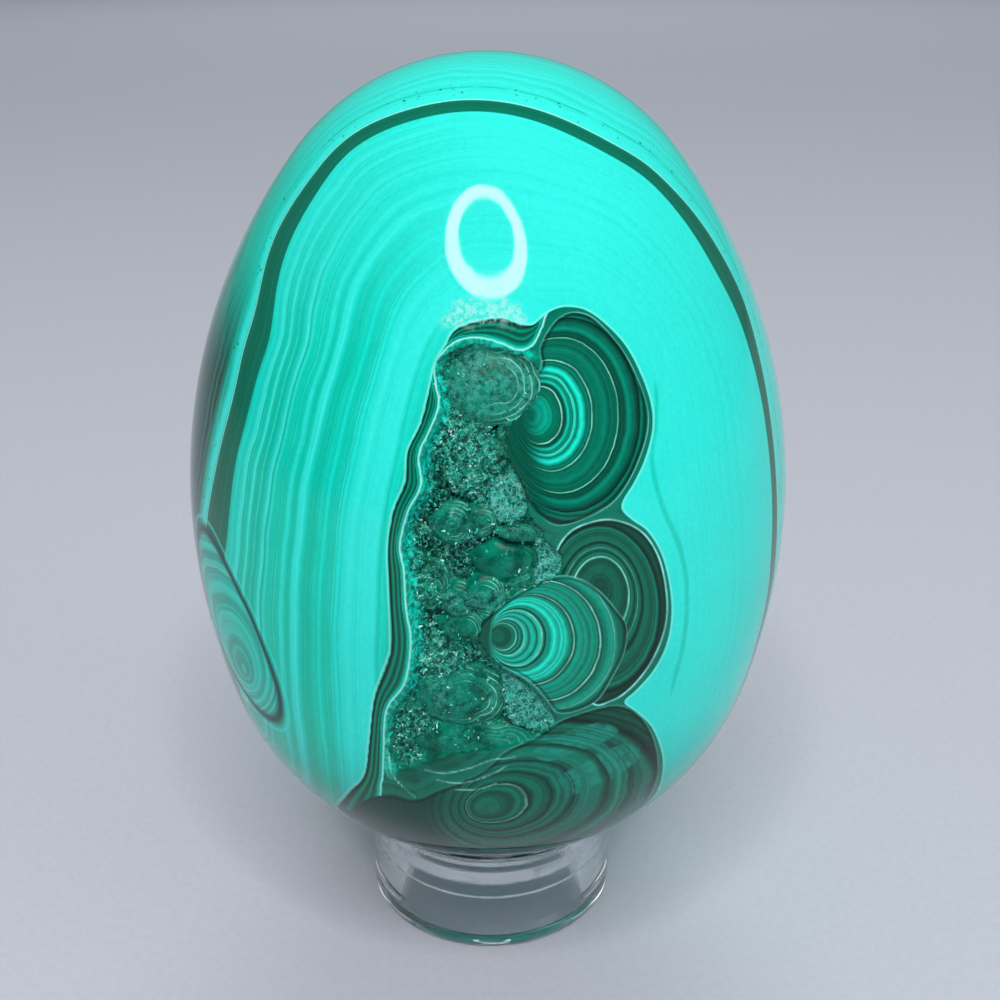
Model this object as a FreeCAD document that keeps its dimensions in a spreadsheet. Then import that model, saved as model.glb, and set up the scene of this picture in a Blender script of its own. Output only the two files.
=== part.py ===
import FreeCAD, Part
import math
import os

import Sketcher

# Decorative stone egg on a clear ring stand
# The egg is cut from banded stone and polished, with a shallow natural pocket of rounded
# growths in its front. It stands blunt end down in the rounded mouth of the ring, and lifts off.
# Millimetres, +Z up, origin on the ground at the middle of the ring, front of the egg towards -Y.

# Driving dimensions
SIZES = [
    ("egg_diameter", "55.9", "widest part of the egg"),
    ("egg_length", "76.2", "tip to tip"),
    ("pocket_width", "12.4", "natural pocket, side to side"),
    ("pocket_length", "35.2", "natural pocket, top to bottom"),
    ("pocket_depth", "2.4", "floor of the pocket below the polished surface"),
    ("ring_diameter", "25.4", "outside of the ring"),
    ("ring_wall", "3.5", "thickness of the ring's wall"),
    ("ring_tall", "10.8", "height of the ring"),
    ("seat_round", "1.4", "rounding of the ring's mouth, which the egg rests on"),
    ("edge_bevel", "0.4", "bevel of the ring's other edges"),
    ("seat_gap", "0.05", "clearance between the egg and its seat"),
]

# Form of the egg: radius of each tip as a share of its diameter, and the height of its widest
# part as a share of its length
LOWER_TIP_SHARE = 0.479
UPPER_TIP_SHARE = 0.379
WIDEST_UP_SHARE = 0.466

# Middle of the pocket, as shares of the egg's diameter and length from its axis and lower tip
POCKET_ACROSS_SHARE = -0.032
POCKET_UP_SHARE = 0.522

# Edge of the pocket, as shares of half its width and half its length
POCKET_EDGE_SHARES = [
    (-0.28, 0.93), (0.07, 1.00), (0.60, 0.98), (0.93, 0.85), (0.58, 0.60),
    (0.70, 0.42), (0.96, 0.15), (0.38, -0.14), (0.42, -0.40), (0.95, -0.78),
    (0.50, -0.96), (-0.40, -1.00), (-1.00, -0.84), (-0.76, -0.52), (-0.66, -0.26),
    (-0.76, 0.06), (-0.46, 0.48),
]

# Grid of points that the pocket's floor is drawn through, as shares of half its width and length
FLOOR_ACROSS_SHARES = [-1.3, -0.6, 0, 0.6, 1.3]
FLOOR_UP_SHARES = [-1.15, -0.7, -0.25, 0.25, 0.7, 1.15]

# The front of the egg is turned as a sector of its own, in degrees, so that the pocket opens in it
FRONT_START = 240
FRONT_SWEEP = 60

# Rounded growths on the pocket's floor: place as shares of half the pocket's width and length,
# spread as a share of half its width, and rise as a share of its depth
GROWTH_SHARES = [
    ("frost_dome", 0.28, 0.83, 0.52, 0.80),
    ("upper_crust", 0.06, 0.56, 0.42, 0.55),
    ("curl_dome", -0.16, 0.28, 0.38, 0.78),
    ("dark_dome", 0.58, 0.15, 0.36, 0.70),
    ("left_bead", -0.42, 0.02, 0.26, 0.52),
    ("middle_bead", 0.00, -0.02, 0.28, 0.72),
    ("side_bead", -0.30, -0.24, 0.28, 0.46),
    ("banded_dome", -0.10, -0.54, 0.56, 0.74),
    ("ledge_dome", 0.30, -0.83, 0.46, 0.66),
]


def make_sheet(doc):
    sheet = doc.addObject("Spreadsheet::Sheet", "sizes")
    for row, (name, value, note) in enumerate(SIZES, start=1):
        sheet.set("A%d" % row, name)
        sheet.set("B%d" % row, value)
        sheet.set("C%d" % row, note)
        sheet.setAlias("B%d" % row, name)
    doc.recompute()
    return sheet


class EggOutline:
    """Half outline of the egg as four tangent arcs, or of a surface a given depth inside it.

    Each tip has a round centred on the axis, and a side arc runs from it to the widest part.
    Heights are above the egg's lower tip.
    """

    def __init__(self, sheet, depth=0):
        half = sheet.egg_diameter / 2
        lower_round = sheet.egg_diameter * LOWER_TIP_SHARE
        upper_round = sheet.egg_diameter * UPPER_TIP_SHARE
        self.widest_up = sheet.egg_length * WIDEST_UP_SHARE
        self.low_centre = lower_round
        self.high_centre = sheet.egg_length - upper_round
        low_side = self.side_round(half, lower_round, self.low_centre)
        high_side = self.side_round(half, upper_round, self.high_centre)
        self.low_middle = half - low_side
        self.high_middle = half - high_side
        self.low_tip = lower_round - depth
        self.high_tip = upper_round - depth
        self.low_side = low_side - depth
        self.high_side = high_side - depth
        self.low_angle = math.atan2(self.low_centre - self.widest_up, -self.low_middle)
        self.high_angle = math.atan2(self.high_centre - self.widest_up, -self.high_middle)

    def side_round(self, half, tip_round, tip_centre):
        # Radius of the arc that is upright at the widest part and touches the tip's round
        drop = self.widest_up - tip_centre
        return (half ** 2 + drop ** 2 - tip_round ** 2) / (2 * (half - tip_round))

    def arcs(self):
        # Middle across, middle up, radius, first angle and last angle of each arc, from the lower tip up
        quarter = math.pi / 2
        return [
            (0, self.low_centre, self.low_tip, -quarter, self.low_angle),
            (self.low_middle, self.widest_up, self.low_side, self.low_angle, 0),
            (self.high_middle, self.widest_up, self.high_side, 0, self.high_angle),
            (0, self.high_centre, self.high_tip, self.high_angle, quarter),
        ]

    def surface_at(self, across, up):
        # Point on the front at a place seen from the front, and the way straight out of it
        for middle, centre, radius, first, last in self.arcs():
            if up <= centre + radius * math.sin(last):
                angle = math.asin((up - centre) / radius)
                break
        reach = middle + radius * math.cos(angle)
        back = -math.sqrt(reach ** 2 - across ** 2)
        flat = math.cos(angle) / reach
        way_out = FreeCAD.Vector(across * flat, back * flat, math.sin(angle))
        return FreeCAD.Vector(across, back, up), way_out


def egg_base(sheet):
    # Height of the lower tip when its round rests on the rounded mouth of the ring
    seat_across = sheet.ring_diameter / 2 - sheet.ring_wall + sheet.seat_round
    seat_up = sheet.ring_tall - sheet.seat_round
    tip_round = EggOutline(sheet).low_tip
    apart = tip_round + sheet.seat_round + sheet.seat_gap
    return seat_up + math.sqrt(apart ** 2 - seat_across ** 2) - tip_round


def sketch_egg(doc, sheet):
    # Closed half section on the XZ plane, held by the sheet's sizes
    outline = EggOutline(sheet)
    sketch = doc.addObject("Sketcher::SketchObject", "egg_section")
    sketch.Placement = FreeCAD.Placement(FreeCAD.Vector(), FreeCAD.Rotation(FreeCAD.Vector(1, 0, 0), 90))
    upright = FreeCAD.Vector(0, 0, 1)
    for across, up, radius, first, last in outline.arcs():
        circle = Part.Circle(FreeCAD.Vector(across, up, 0), upright, radius)
        sketch.addGeometry(Part.ArcOfCircle(circle, first, last), False)
    top = FreeCAD.Vector(0, outline.high_centre + outline.high_tip, 0)
    bottom = FreeCAD.Vector(0, outline.low_centre - outline.low_tip, 0)
    sketch.addGeometry(Part.LineSegment(top, bottom), False)
    low_tip, low_side, high_side, high_tip, axis = range(5)
    for lower, upper in ((low_tip, low_side), (low_side, high_side), (high_side, high_tip)):
        sketch.addConstraint(Sketcher.Constraint("Tangent", lower, 2, upper, 1))
    sketch.addConstraint(Sketcher.Constraint("Coincident", high_tip, 2, axis, 1))
    sketch.addConstraint(Sketcher.Constraint("Coincident", axis, 2, low_tip, 1))
    for part, point in ((axis, 1), (axis, 2), (low_tip, 3), (high_tip, 3)):
        sketch.addConstraint(Sketcher.Constraint("PointOnObject", part, point, -2))
    lower_round = "%g * sizes.egg_diameter" % LOWER_TIP_SHARE
    upper_round = "%g * sizes.egg_diameter" % UPPER_TIP_SHARE
    widest = "%g * sizes.egg_length" % WIDEST_UP_SHARE
    half = sheet.egg_diameter / 2
    limits = [
        ("low_round", ("Radius", low_tip, outline.low_tip), lower_round),
        ("high_round", ("Radius", high_tip, outline.high_tip), upper_round),
        ("low_centre", ("DistanceY", -1, 1, low_tip, 3, outline.low_centre), lower_round),
        ("high_centre", ("DistanceY", -1, 1, high_tip, 3, outline.high_centre),
         "sizes.egg_length - " + upper_round),
        ("half_width", ("DistanceX", -1, 1, low_side, 2, half), "sizes.egg_diameter / 2"),
        ("widest", ("DistanceY", -1, 1, low_side, 2, outline.widest_up), widest),
        ("side_centre", ("DistanceY", -1, 1, low_side, 3, outline.widest_up), widest),
    ]
    bind(sketch, limits)
    return sketch


def bind(sketch, limits):
    for name, constraint, expression in limits:
        index = sketch.addConstraint(Sketcher.Constraint(*constraint))
        sketch.renameConstraint(index, name)
        sketch.setExpression("Constraints." + name, expression)


def turn(doc, name, sketch, base, start, sweep):
    upright = FreeCAD.Vector(0, 0, 1)
    turned = doc.addObject("Part::Revolution", name)
    turned.Source = sketch
    turned.Axis = upright
    turned.Base = FreeCAD.Vector()
    turned.Angle = sweep
    turned.Solid = True
    turned.Placement = FreeCAD.Placement(upright * base, FreeCAD.Rotation(upright, start))
    return turned


def make_blank(doc, sheet, base):
    sketch = sketch_egg(doc, sheet)
    front = turn(doc, "egg_front", sketch, base, FRONT_START, FRONT_SWEEP)
    rest = turn(doc, "egg_rest", sketch, base, FRONT_START + FRONT_SWEEP, 360 - FRONT_SWEEP)
    blank = doc.addObject("Part::MultiFuse", "egg_blank")
    blank.Shapes = [front, rest]
    return blank


def pocket_place(sheet, across_share, up_share):
    # Across from the axis and up from the lower tip
    across = sheet.egg_diameter * POCKET_ACROSS_SHARE + sheet.pocket_width / 2 * across_share
    up = sheet.egg_length * POCKET_UP_SHARE + sheet.pocket_length / 2 * up_share
    return across, up


def make_column(doc, sheet, base):
    # The pocket's edge, carried straight in from the front as far as the egg's axis
    corners = []
    for shares in POCKET_EDGE_SHARES:
        across, up = pocket_place(sheet, *shares)
        corners.append(FreeCAD.Vector(across, -sheet.egg_diameter, base + up))
    edge = Part.BSplineCurve()
    edge.interpolate(Points=corners, PeriodicFlag=True)
    window = Part.Face(Part.Wire([edge.toShape()]))
    column = doc.addObject("Part::Feature", "pocket_column")
    column.Shape = window.extrude(FreeCAD.Vector(0, sheet.egg_diameter, 0))
    return column


def make_floor(doc, sheet, base):
    # Block behind a smooth sheet that lies the pocket's depth inside the polished surface
    inside = EggOutline(sheet, sheet.pocket_depth)
    lift = FreeCAD.Vector(0, 0, base)
    rows = []
    for up_share in FLOOR_UP_SHARES:
        places = [pocket_place(sheet, share, up_share) for share in FLOOR_ACROSS_SHARES]
        rows.append([inside.surface_at(*place)[0] + lift for place in places])
    sheet_surface = Part.BSplineSurface()
    sheet_surface.interpolate(rows)
    floor = doc.addObject("Part::Feature", "pocket_floor")
    floor.Shape = sheet_surface.toShape().extrude(FreeCAD.Vector(0, sheet.egg_diameter, 0))
    return floor


def make_growth(doc, sheet, base, name, across_share, up_share, spread_share, rise_share):
    # A ball that shows above the pocket's floor as a cap of the wanted spread and rise
    ball = doc.addObject("Part::Sphere", name)
    spread = "(%g * sizes.pocket_width / 2)" % spread_share
    rise = "(%g * sizes.pocket_depth)" % rise_share
    ball.setExpression("Radius", "(%s ^ 2 + %s ^ 2) / (2 * %s)" % (spread, rise, rise))
    doc.recompute()
    point, way_out = EggOutline(sheet).surface_at(*pocket_place(sheet, across_share, up_share))
    sunk = sheet.pocket_depth * (1 - rise_share) + ball.Radius.Value
    centre = point - way_out * sunk + FreeCAD.Vector(0, 0, base)
    ball.Placement = FreeCAD.Placement(centre, FreeCAD.Rotation())
    return ball


def cut(doc, name, base_object, tool):
    result = doc.addObject("Part::Cut", name)
    result.Base = base_object
    result.Tool = tool
    return result


def make_pocket_space(doc, sheet, base):
    # The room in the pocket: its column, less the floor and each growth that stands on it
    space = cut(doc, "space_over_floor", make_column(doc, sheet, base), make_floor(doc, sheet, base))
    for shares in GROWTH_SHARES:
        growth = make_growth(doc, sheet, base, *shares)
        space = cut(doc, "space_round_" + growth.Name, space, growth)
    return space


def make_egg(doc, sheet, base):
    blank = make_blank(doc, sheet, base)
    egg = cut(doc, "egg", blank, make_pocket_space(doc, sheet, base))
    egg.Label = "egg"
    egg.Placement = FreeCAD.Placement()
    doc.recompute()
    return egg


def sketch_ring(body, inner, outer, top):
    plane = [part for part in body.Origin.OriginFeatures if part.Role == "XZ_Plane"][0]
    sketch = body.newObject("Sketcher::SketchObject", "ring_section")
    sketch.AttachmentSupport = [(plane, "")]
    sketch.MapMode = "FlatFace"
    corners = [(inner, 0), (outer, 0), (outer, top), (inner, top)]
    for start, end in zip(corners, corners[1:] + corners[:1]):
        sketch.addGeometry(Part.LineSegment(FreeCAD.Vector(*start, 0), FreeCAD.Vector(*end, 0)), False)
    foot, outside, rim, inside = range(4)
    for first, second in ((foot, outside), (outside, rim), (rim, inside), (inside, foot)):
        sketch.addConstraint(Sketcher.Constraint("Coincident", first, 2, second, 1))
    for line in (foot, rim):
        sketch.addConstraint(Sketcher.Constraint("Horizontal", line))
    for line in (outside, inside):
        sketch.addConstraint(Sketcher.Constraint("Vertical", line))
    sketch.addConstraint(Sketcher.Constraint("PointOnObject", foot, 1, -1))
    limits = [
        ("bore", ("DistanceX", -1, 1, foot, 1, inner), "sizes.ring_diameter / 2 - sizes.ring_wall"),
        ("wall", ("DistanceX", foot, 1, foot, 2, outer - inner), "sizes.ring_wall"),
        ("tall", ("DistanceY", outside, 1, outside, 2, top), "sizes.ring_tall"),
    ]
    bind(sketch, limits)
    return sketch


def circles(shape, places):
    # Names of the circular edges at the given heights and radii
    close = Part.Precision.approximation()
    names = []
    for number, edge in enumerate(shape.Edges, start=1):
        if not hasattr(edge.Curve, "Radius"):
            continue
        level = (edge.BoundBox.ZMin + edge.BoundBox.ZMax) / 2
        for height, radius in places:
            if abs(level - height) < close and abs(edge.Curve.Radius - radius) < close:
                names.append("Edge%d" % number)
    return names


def make_ring(doc, sheet):
    body = doc.addObject("PartDesign::Body", "stand_ring")
    body.Label = "stand_ring"
    outer = sheet.ring_diameter / 2
    inner = outer - sheet.ring_wall
    top = sheet.ring_tall
    sketch = sketch_ring(body, inner, outer, top)
    doc.recompute()
    turning = body.newObject("PartDesign::Revolution", "ring_turning")
    turning.Profile = sketch
    turning.ReferenceAxis = (sketch, ["V_Axis"])
    turning.Angle = 360
    doc.recompute()
    seat = body.newObject("PartDesign::Fillet", "seat_rounding")
    seat.Base = (turning, circles(turning.Shape, [(top, inner)]))
    seat.setExpression("Radius", "sizes.seat_round")
    doc.recompute()
    bevel = body.newObject("PartDesign::Chamfer", "edge_bevels")
    bevel.Base = (seat, circles(seat.Shape, [(top, outer), (0, outer), (0, inner)]))
    bevel.setExpression("Size", "sizes.edge_bevel")
    body.Placement = FreeCAD.Placement()
    doc.recompute()
    return body


def check(doc, parts):
    for thing in doc.Objects:
        if "Invalid" in thing.State or "Error" in thing.State:
            raise RuntimeError("%s failed: %s" % (thing.Name, thing.State))
    for part in parts:
        if part.Shape.isNull() or not part.Shape.isValid():
            raise RuntimeError("%s has no valid shape" % part.Label)
        solids = len(part.Shape.Solids)
        print("%s: %d solid, %.0f cubic mm" % (part.Label, solids, part.Shape.Volume))


def main():
    doc = FreeCAD.newDocument("egg_on_stand")
    sheet = make_sheet(doc)
    base = egg_base(sheet)
    parts = [make_egg(doc, sheet, base), make_ring(doc, sheet)]
    check(doc, parts)
    print("lower tip of the egg at %.2f mm" % base)
    os.makedirs("parts", exist_ok=True)
    for part in parts:
        part.Shape.exportStep("parts/%s.step" % part.Label)


main()
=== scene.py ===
import math
from collections import namedtuple

import bpy
import numpy as np
from mathutils import Matrix, Vector


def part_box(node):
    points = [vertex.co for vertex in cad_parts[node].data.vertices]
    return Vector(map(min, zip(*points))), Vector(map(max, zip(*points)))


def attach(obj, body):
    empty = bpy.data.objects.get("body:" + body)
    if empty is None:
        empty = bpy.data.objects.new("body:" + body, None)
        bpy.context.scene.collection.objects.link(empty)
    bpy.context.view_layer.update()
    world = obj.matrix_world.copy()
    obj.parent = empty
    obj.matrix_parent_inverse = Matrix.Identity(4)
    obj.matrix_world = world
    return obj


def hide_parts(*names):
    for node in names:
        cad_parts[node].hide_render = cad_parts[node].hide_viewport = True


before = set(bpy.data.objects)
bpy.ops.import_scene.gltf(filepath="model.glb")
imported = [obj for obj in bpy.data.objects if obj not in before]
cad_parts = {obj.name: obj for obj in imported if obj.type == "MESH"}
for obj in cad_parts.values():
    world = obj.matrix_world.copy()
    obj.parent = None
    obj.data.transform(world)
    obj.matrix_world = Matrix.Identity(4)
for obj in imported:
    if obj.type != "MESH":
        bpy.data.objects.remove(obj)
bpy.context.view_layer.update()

# Polished banded-stone egg with a rough natural pocket, standing in a clear ring.
# Metres, +Z up, origin on the ground under the egg, front towards -Y.

MM = 0.001

egg_low, egg_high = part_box("egg")
ring_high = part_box("stand_ring")[1]
RING_RADIUS = ring_high.x
RING_TALL = ring_high.z

# Form of the egg, as in the part
LOWER_TIP_SHARE = 0.479
UPPER_TIP_SHARE = 0.379
WIDEST_UP_SHARE = 0.466

# Camera, which is also the point that the front's drawing is laid on the stone from.
# Lengths are shares of the ring's radius, and picture lengths are shares of the picture's width.
PICTURE = 1000
EYE_REACH = 10.0
AIM_HEIGHT = 3.0
EYE_RAISE = math.radians(25.88)
LOOK_DOWN = math.radians(23.50)
LOOK_ROLL = math.radians(-0.52)
FOCAL_SHARE = 1.288
SIDE_SHIFT = -0.0118
SENSOR = 36.0
NEAREST_SEEN = 0.01

# How closely the egg's profile is measured, and how places of the picture are found on it
ARC_POINTS = 600
NEAREST_SHARE, FARTHEST_SHARE, DEPTH_TRIES = 0.4, 1.2, 121
HALVINGS = 30


class EggForm:
    """The polished surface, as a table of its profile from the lower tip to the upper one."""

    def __init__(self):
        self.base = egg_low.z
        half = (egg_high.y - egg_low.y) / 2
        length = egg_high.z - egg_low.z
        low_round = 2 * half * LOWER_TIP_SHARE
        high_round = 2 * half * UPPER_TIP_SHARE
        widest = length * WIDEST_UP_SHARE
        low_side = self.side_round(half, low_round, widest - low_round)
        high_side = self.side_round(half, high_round, widest - (length - high_round))
        low_middle = half - low_side
        high_middle = half - high_side
        high_centre = length - high_round
        low_turn = math.atan2(low_round - widest, -low_middle)
        high_turn = math.atan2(high_centre - widest, -high_middle)
        arcs = [
            (0, low_round, low_round, -math.pi / 2, low_turn),
            (low_middle, widest, low_side, low_turn, 0),
            (high_middle, widest, high_side, 0, high_turn),
            (0, high_centre, high_round, high_turn, math.pi / 2),
        ]
        radii, heights, turns = [], [], []
        for middle, centre, radius, first, last in arcs:
            turn = np.linspace(first, last, ARC_POINTS)[1 if radii else 0:]
            radii.append(middle + radius * np.cos(turn))
            heights.append(self.base + centre + radius * np.sin(turn))
            turns.append(turn)
        self.radii = np.concatenate(radii)
        self.heights = np.concatenate(heights)
        self.turns = np.concatenate(turns)
        steps = np.hypot(np.diff(self.radii), np.diff(self.heights))
        self.path = np.concatenate([[0], np.cumsum(steps)])
        self.long = self.path[-1]

    def side_round(self, half, tip_round, drop):
        return (half ** 2 + drop ** 2 - tip_round ** 2) / (2 * (half - tip_round))

    def path_at(self, height):
        return float(np.interp(height, self.heights, self.path))

    def point(self, turn_round, along):
        """Points and outward directions, by angle from the front and distance up the profile."""
        radius = np.interp(along, self.path, self.radii)
        height = np.interp(along, self.path, self.heights)
        slope = np.interp(along, self.path, self.turns)
        flat = np.stack([np.sin(turn_round), -np.cos(turn_round)], -1)
        place = np.concatenate([flat * radius[..., None], height[..., None]], -1)
        out = np.concatenate([flat * np.cos(slope)[..., None], np.sin(slope)[..., None]], -1)
        return place, out

    def outside_by(self, place):
        """How far places stand outside the polished surface, level with it."""
        radius = np.interp(place[..., 2], self.heights, self.radii, left=-1, right=-1)
        return np.hypot(place[..., 0], place[..., 1]) - radius

    def out_at(self, place):
        slope = np.interp(place[..., 2], self.heights, self.turns)
        round_by = np.arctan2(place[..., 0], -place[..., 1])
        level = np.cos(slope)
        return np.stack([np.sin(round_by) * level, -np.cos(round_by) * level, np.sin(slope)], -1)


class Drawing:
    """The front's drawing: places in the picture, and where they fall on the stone."""

    def __init__(self, egg):
        self.egg = egg
        reach = EYE_REACH * RING_RADIUS
        self.eye = np.array([0, -reach * math.cos(EYE_RAISE),
                             AIM_HEIGHT * RING_RADIUS + reach * math.sin(EYE_RAISE)])
        self.ahead = np.array([0, math.cos(LOOK_DOWN), -math.sin(LOOK_DOWN)])
        self.side = np.array([1.0, 0, 0])
        self.up = np.cross(self.side, self.ahead)
        self.focal = FOCAL_SHARE * PICTURE
        self.middle = np.array([0.5 + SIDE_SHIFT, 0.5]) * PICTURE
        self.turn = (math.cos(LOOK_ROLL), math.sin(LOOK_ROLL))

    def place(self, points):
        """Where points of the stone fall in the picture."""
        offset = points - self.eye
        deep = offset @ self.ahead
        across = self.focal * (offset @ self.side) / deep
        down = -self.focal * (offset @ self.up) / deep
        cosine, sine = self.turn
        turned = np.stack([cosine * across - sine * down, sine * across + cosine * down], -1)
        return turned + self.middle

    def on_stone(self, places):
        """The points of the polished surface at places of the picture."""
        places = np.asarray(places, float) - self.middle
        cosine, sine = self.turn
        across = cosine * places[..., 0] + sine * places[..., 1]
        down = -sine * places[..., 0] + cosine * places[..., 1]
        way = self.ahead * self.focal + across[..., None] * self.side - down[..., None] * self.up
        way /= np.linalg.norm(way, axis=-1, keepdims=True)
        reach = np.linalg.norm(self.eye)
        depths = np.linspace(NEAREST_SHARE, FARTHEST_SHARE, DEPTH_TRIES) * reach
        gaps = np.stack([self.egg.outside_by(self.eye + way * depth) for depth in depths])
        within = gaps < 0
        hit = within.any(0)
        far = np.where(hit, depths[np.argmax(within, 0)], depths[np.argmin(gaps, 0)])
        near = np.where(hit, far - (depths[1] - depths[0]), far)
        for _ in range(HALVINGS):
            half_way = (near + far) / 2
            inside = self.egg.outside_by(self.eye + way * half_way[..., None]) < 0
            far = np.where(inside, half_way, far)
            near = np.where(inside, near, half_way)
        return self.eye + way * far[..., None]


EGG = EggForm()
DRAWING = Drawing(EGG)

# Outlines on the front, in picture places

# Dark band round the front: its inner and outer edges
BAND_INSIDE = [
    (227, 548), (235, 470), (247, 420), (260, 370), (272, 335), (275, 302), (284, 258), (301, 220),
    (324, 183), (348, 153), (382, 132), (417, 120), (451, 113), (485, 112), (519, 117), (553, 128),
    (587, 144), (620, 162), (650, 182), (687, 225), (717, 275), (740, 322), (757, 380), (766, 430),
    (771, 480), (772, 530), (769, 585),
]
BAND_OUTSIDE = [
    (203, 548), (216, 470), (229, 420), (239, 370), (250, 335), (256, 302), (266, 258), (280, 224),
    (300, 194), (324, 163), (348, 139), (382, 118), (417, 107), (451, 102), (485, 101), (519, 105),
    (553, 115), (587, 130), (620, 149), (650, 169), (690, 209), (725, 257), (747, 310), (764, 380),
    (772, 430), (776, 480), (777, 530), (774, 580),
]
# The same band under the egg, out of the picture: angle round the front's middle, and depths in mm
BAND_UNDER = [(-40, -12.5, -11.5), (-90, -8.0, -7.0), (-140, -13.5, -11.0)]

# Growth cluster: outline, and the bright line inside its left border, which
# BRIGHT_CLOSE closes to a region round the cluster's right side
CLUSTER = [
    (431, 383), (436, 362), (446, 345), (455, 330), (475, 322), (500, 318), (520, 324), (533, 325),
    (545, 315), (556, 309), (568, 307), (585, 310), (603, 322), (625, 345), (641, 375), (651, 405),
    (652, 430), (645, 458), (634, 482), (623, 500), (622, 510), (632, 520), (648, 532), (662, 556),
    (670, 590), (671, 620), (665, 648), (652, 672), (636, 690), (624, 702), (636, 712), (652, 728),
    (662, 755), (661, 780), (650, 806), (632, 832), (600, 880), (490, 920), (380, 890), (322, 850),
    (328, 818), (348, 792), (364, 775), (369, 742), (374, 699), (384, 670), (388, 659), (391, 642),
    (389, 583), (388, 548), (393, 512), (405, 482), (408, 451), (421, 423),
]
BRIGHT_LINE = [
    (549, 310), (541, 330), (532, 346), (518, 350), (500, 343), (480, 338), (460, 340), (446, 349),
    (435, 364), (436, 385), (439, 405), (430, 430), (419, 455), (421, 486), (408, 512), (400, 545),
    (404, 571), (406, 607), (411, 642), (405, 683), (387, 709), (384, 746), (383, 775), (381, 795),
]
BRIGHT_CLOSE = [(384, 860), (500, 960), (760, 900), (760, 400), (640, 250), (570, 290)]
# Faint line outside the cluster's right side
FAINT_LINE = [(640, 330), (655, 380), (656, 420), (652, 462), (662, 505), (680, 548), (687, 590),
              (684, 640), (672, 690), (668, 720), (672, 760)]

# Lobes of the cluster
UPPER_LOBE = [
    (541, 368), (540, 350), (546, 335), (556, 321), (570, 313), (587, 315), (603, 327), (622, 350),
    (637, 378), (647, 408), (647, 432), (640, 456), (629, 480), (615, 500), (598, 512), (578, 521),
    (558, 525), (543, 518), (531, 505), (520, 490), (508, 470), (503, 445), (500, 430), (505, 400),
    (520, 380),
]
SIDE_LOBE = [
    (556, 560), (560, 545), (572, 531), (590, 523), (610, 520), (632, 526), (648, 539), (660, 562),
    (666, 592), (666, 620), (659, 645), (647, 668), (630, 688), (612, 700), (590, 700), (570, 640),
    (555, 600),
]
FAN_LOBE = [
    (482, 622), (500, 607), (515, 595), (540, 582), (562, 576), (582, 580), (600, 592), (615, 609),
    (626, 626), (624, 652), (612, 677), (597, 700), (575, 711), (557, 712), (547, 700), (533, 684),
    (510, 670), (490, 662), (476, 642),
]
LOWER_LOBE = [
    (505, 752), (535, 738), (557, 723), (577, 715), (600, 708), (620, 706), (637, 714), (650, 731),
    (657, 755), (656, 780), (644, 806), (625, 835), (590, 890), (480, 910), (380, 890), (335, 840),
    (356, 806), (385, 795), (415, 800), (440, 790), (470, 778), (490, 766),
]
# Rings of a lobe grow from a first ellipse to a last one: middle, half width, half height, tilt
LAST_RING, RING_HALVINGS = 3, 26
UPPER_RINGS = ((530, 415, 3, 4), (572, 415, 78, 106), 0)
SIDE_RINGS = ((600, 588, 6, 8), (600, 612, 69, 96), 0)
FAN_RINGS = ((497, 636, 7, 7), (557, 642, 69, 74), 0)
LOWER_RINGS = ((487, 806, 12, 8), (544, 790, 125, 72), -12)
# Light worn patches on the lower lobe
WORN_PATCHES = [
    [(532, 752), (556, 738), (582, 726), (606, 722), (618, 732), (600, 744), (574, 752),
     (548, 762)],
    [(558, 778), (582, 764), (606, 750), (630, 744), (640, 756), (624, 772), (598, 784),
     (574, 794)],
]
# Painted reflection: a whitish speckled flare on the skin above the pocket's top, just under the
# ring lamp's highlight
PAINTED_FLARE = [(446, 326), (448, 308), (462, 298), (482, 303), (506, 300), (524, 312), (518, 324),
           (486, 322)]

# Rough pocket: outline, and its depth in mm where the stone's skin ends
POCKET = [
    (437, 374), (440, 360), (454, 349), (475, 345), (500, 349), (518, 355), (531, 361), (540, 373),
    (540, 387), (533, 402), (521, 414), (511, 426), (506, 442), (508, 460), (517, 478), (525, 494),
    (527, 513), (538, 530), (549, 545), (561, 556), (562, 566), (552, 578), (538, 584), (520, 592),
    (505, 602), (490, 614), (480, 628), (478, 642), (486, 656), (498, 664), (508, 675), (522, 682),
    (537, 696), (547, 708), (556, 721), (545, 733), (525, 742), (500, 748), (470, 752), (440, 757),
    (416, 766), (400, 771), (391, 762), (389, 735), (391, 717), (399, 704), (408, 688), (413, 665),
    (414, 642), (410, 607), (408, 571), (403, 550), (405, 527), (413, 508), (424, 488), (423, 460),
    (433, 435), (443, 410), (440, 390),
]
SKIN_SINK = 3.2
WALL_WIDTH = 0.35
# How its outline is chipped, in places of the picture: rise and length of the waves
POCKET_CHIPS = (1.5, 7)
POCKET_SEED = 21

# Pale lobe at the left side: middle in the picture, half sizes in mm and tilt in degrees
PALE_LOBE_PLACE = (229, 628)
PALE_LOBE_HALF = (5.0, 8.0, 8.3)
PALE_LOBE_TILT = 30
PALE_RINGS = ((244, 668, 2, 6), (232, 632, 34, 88), -22)

# Thin cream veins in the ground under the pocket
VEINS = [
    [(388, 738), (389, 760), (392, 774), (402, 786), (415, 797)],
    [(424, 770), (446, 773), (470, 768), (492, 760), (516, 757)],
    [(436, 780), (462, 783), (490, 775), (508, 765)],
    [(455, 790), (480, 789), (497, 783)],
]
# Lines that the field's stripes run between: beside the cluster, and on from the band's ends
FIELD_LOW_LEFT = [(300, 900), (262, 830), (240, 760), (228, 700), (223, 640), (223, 590)]
FIELD_LOW_RIGHT = [(760, 640), (738, 700), (705, 750), (672, 800)]
FIELD_BESIDE_CLUSTER = [
    (388, 900), (386, 800), (386, 700), (388, 600), (394, 520), (408, 450), (424, 385), (440, 345),
    (458, 322), (490, 306), (540, 300), (590, 304), (630, 340), (656, 400), (662, 470), (676, 560),
    (680, 650), (670, 740), (668, 820), (668, 900),
]


LINE_STEPS = 6


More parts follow.
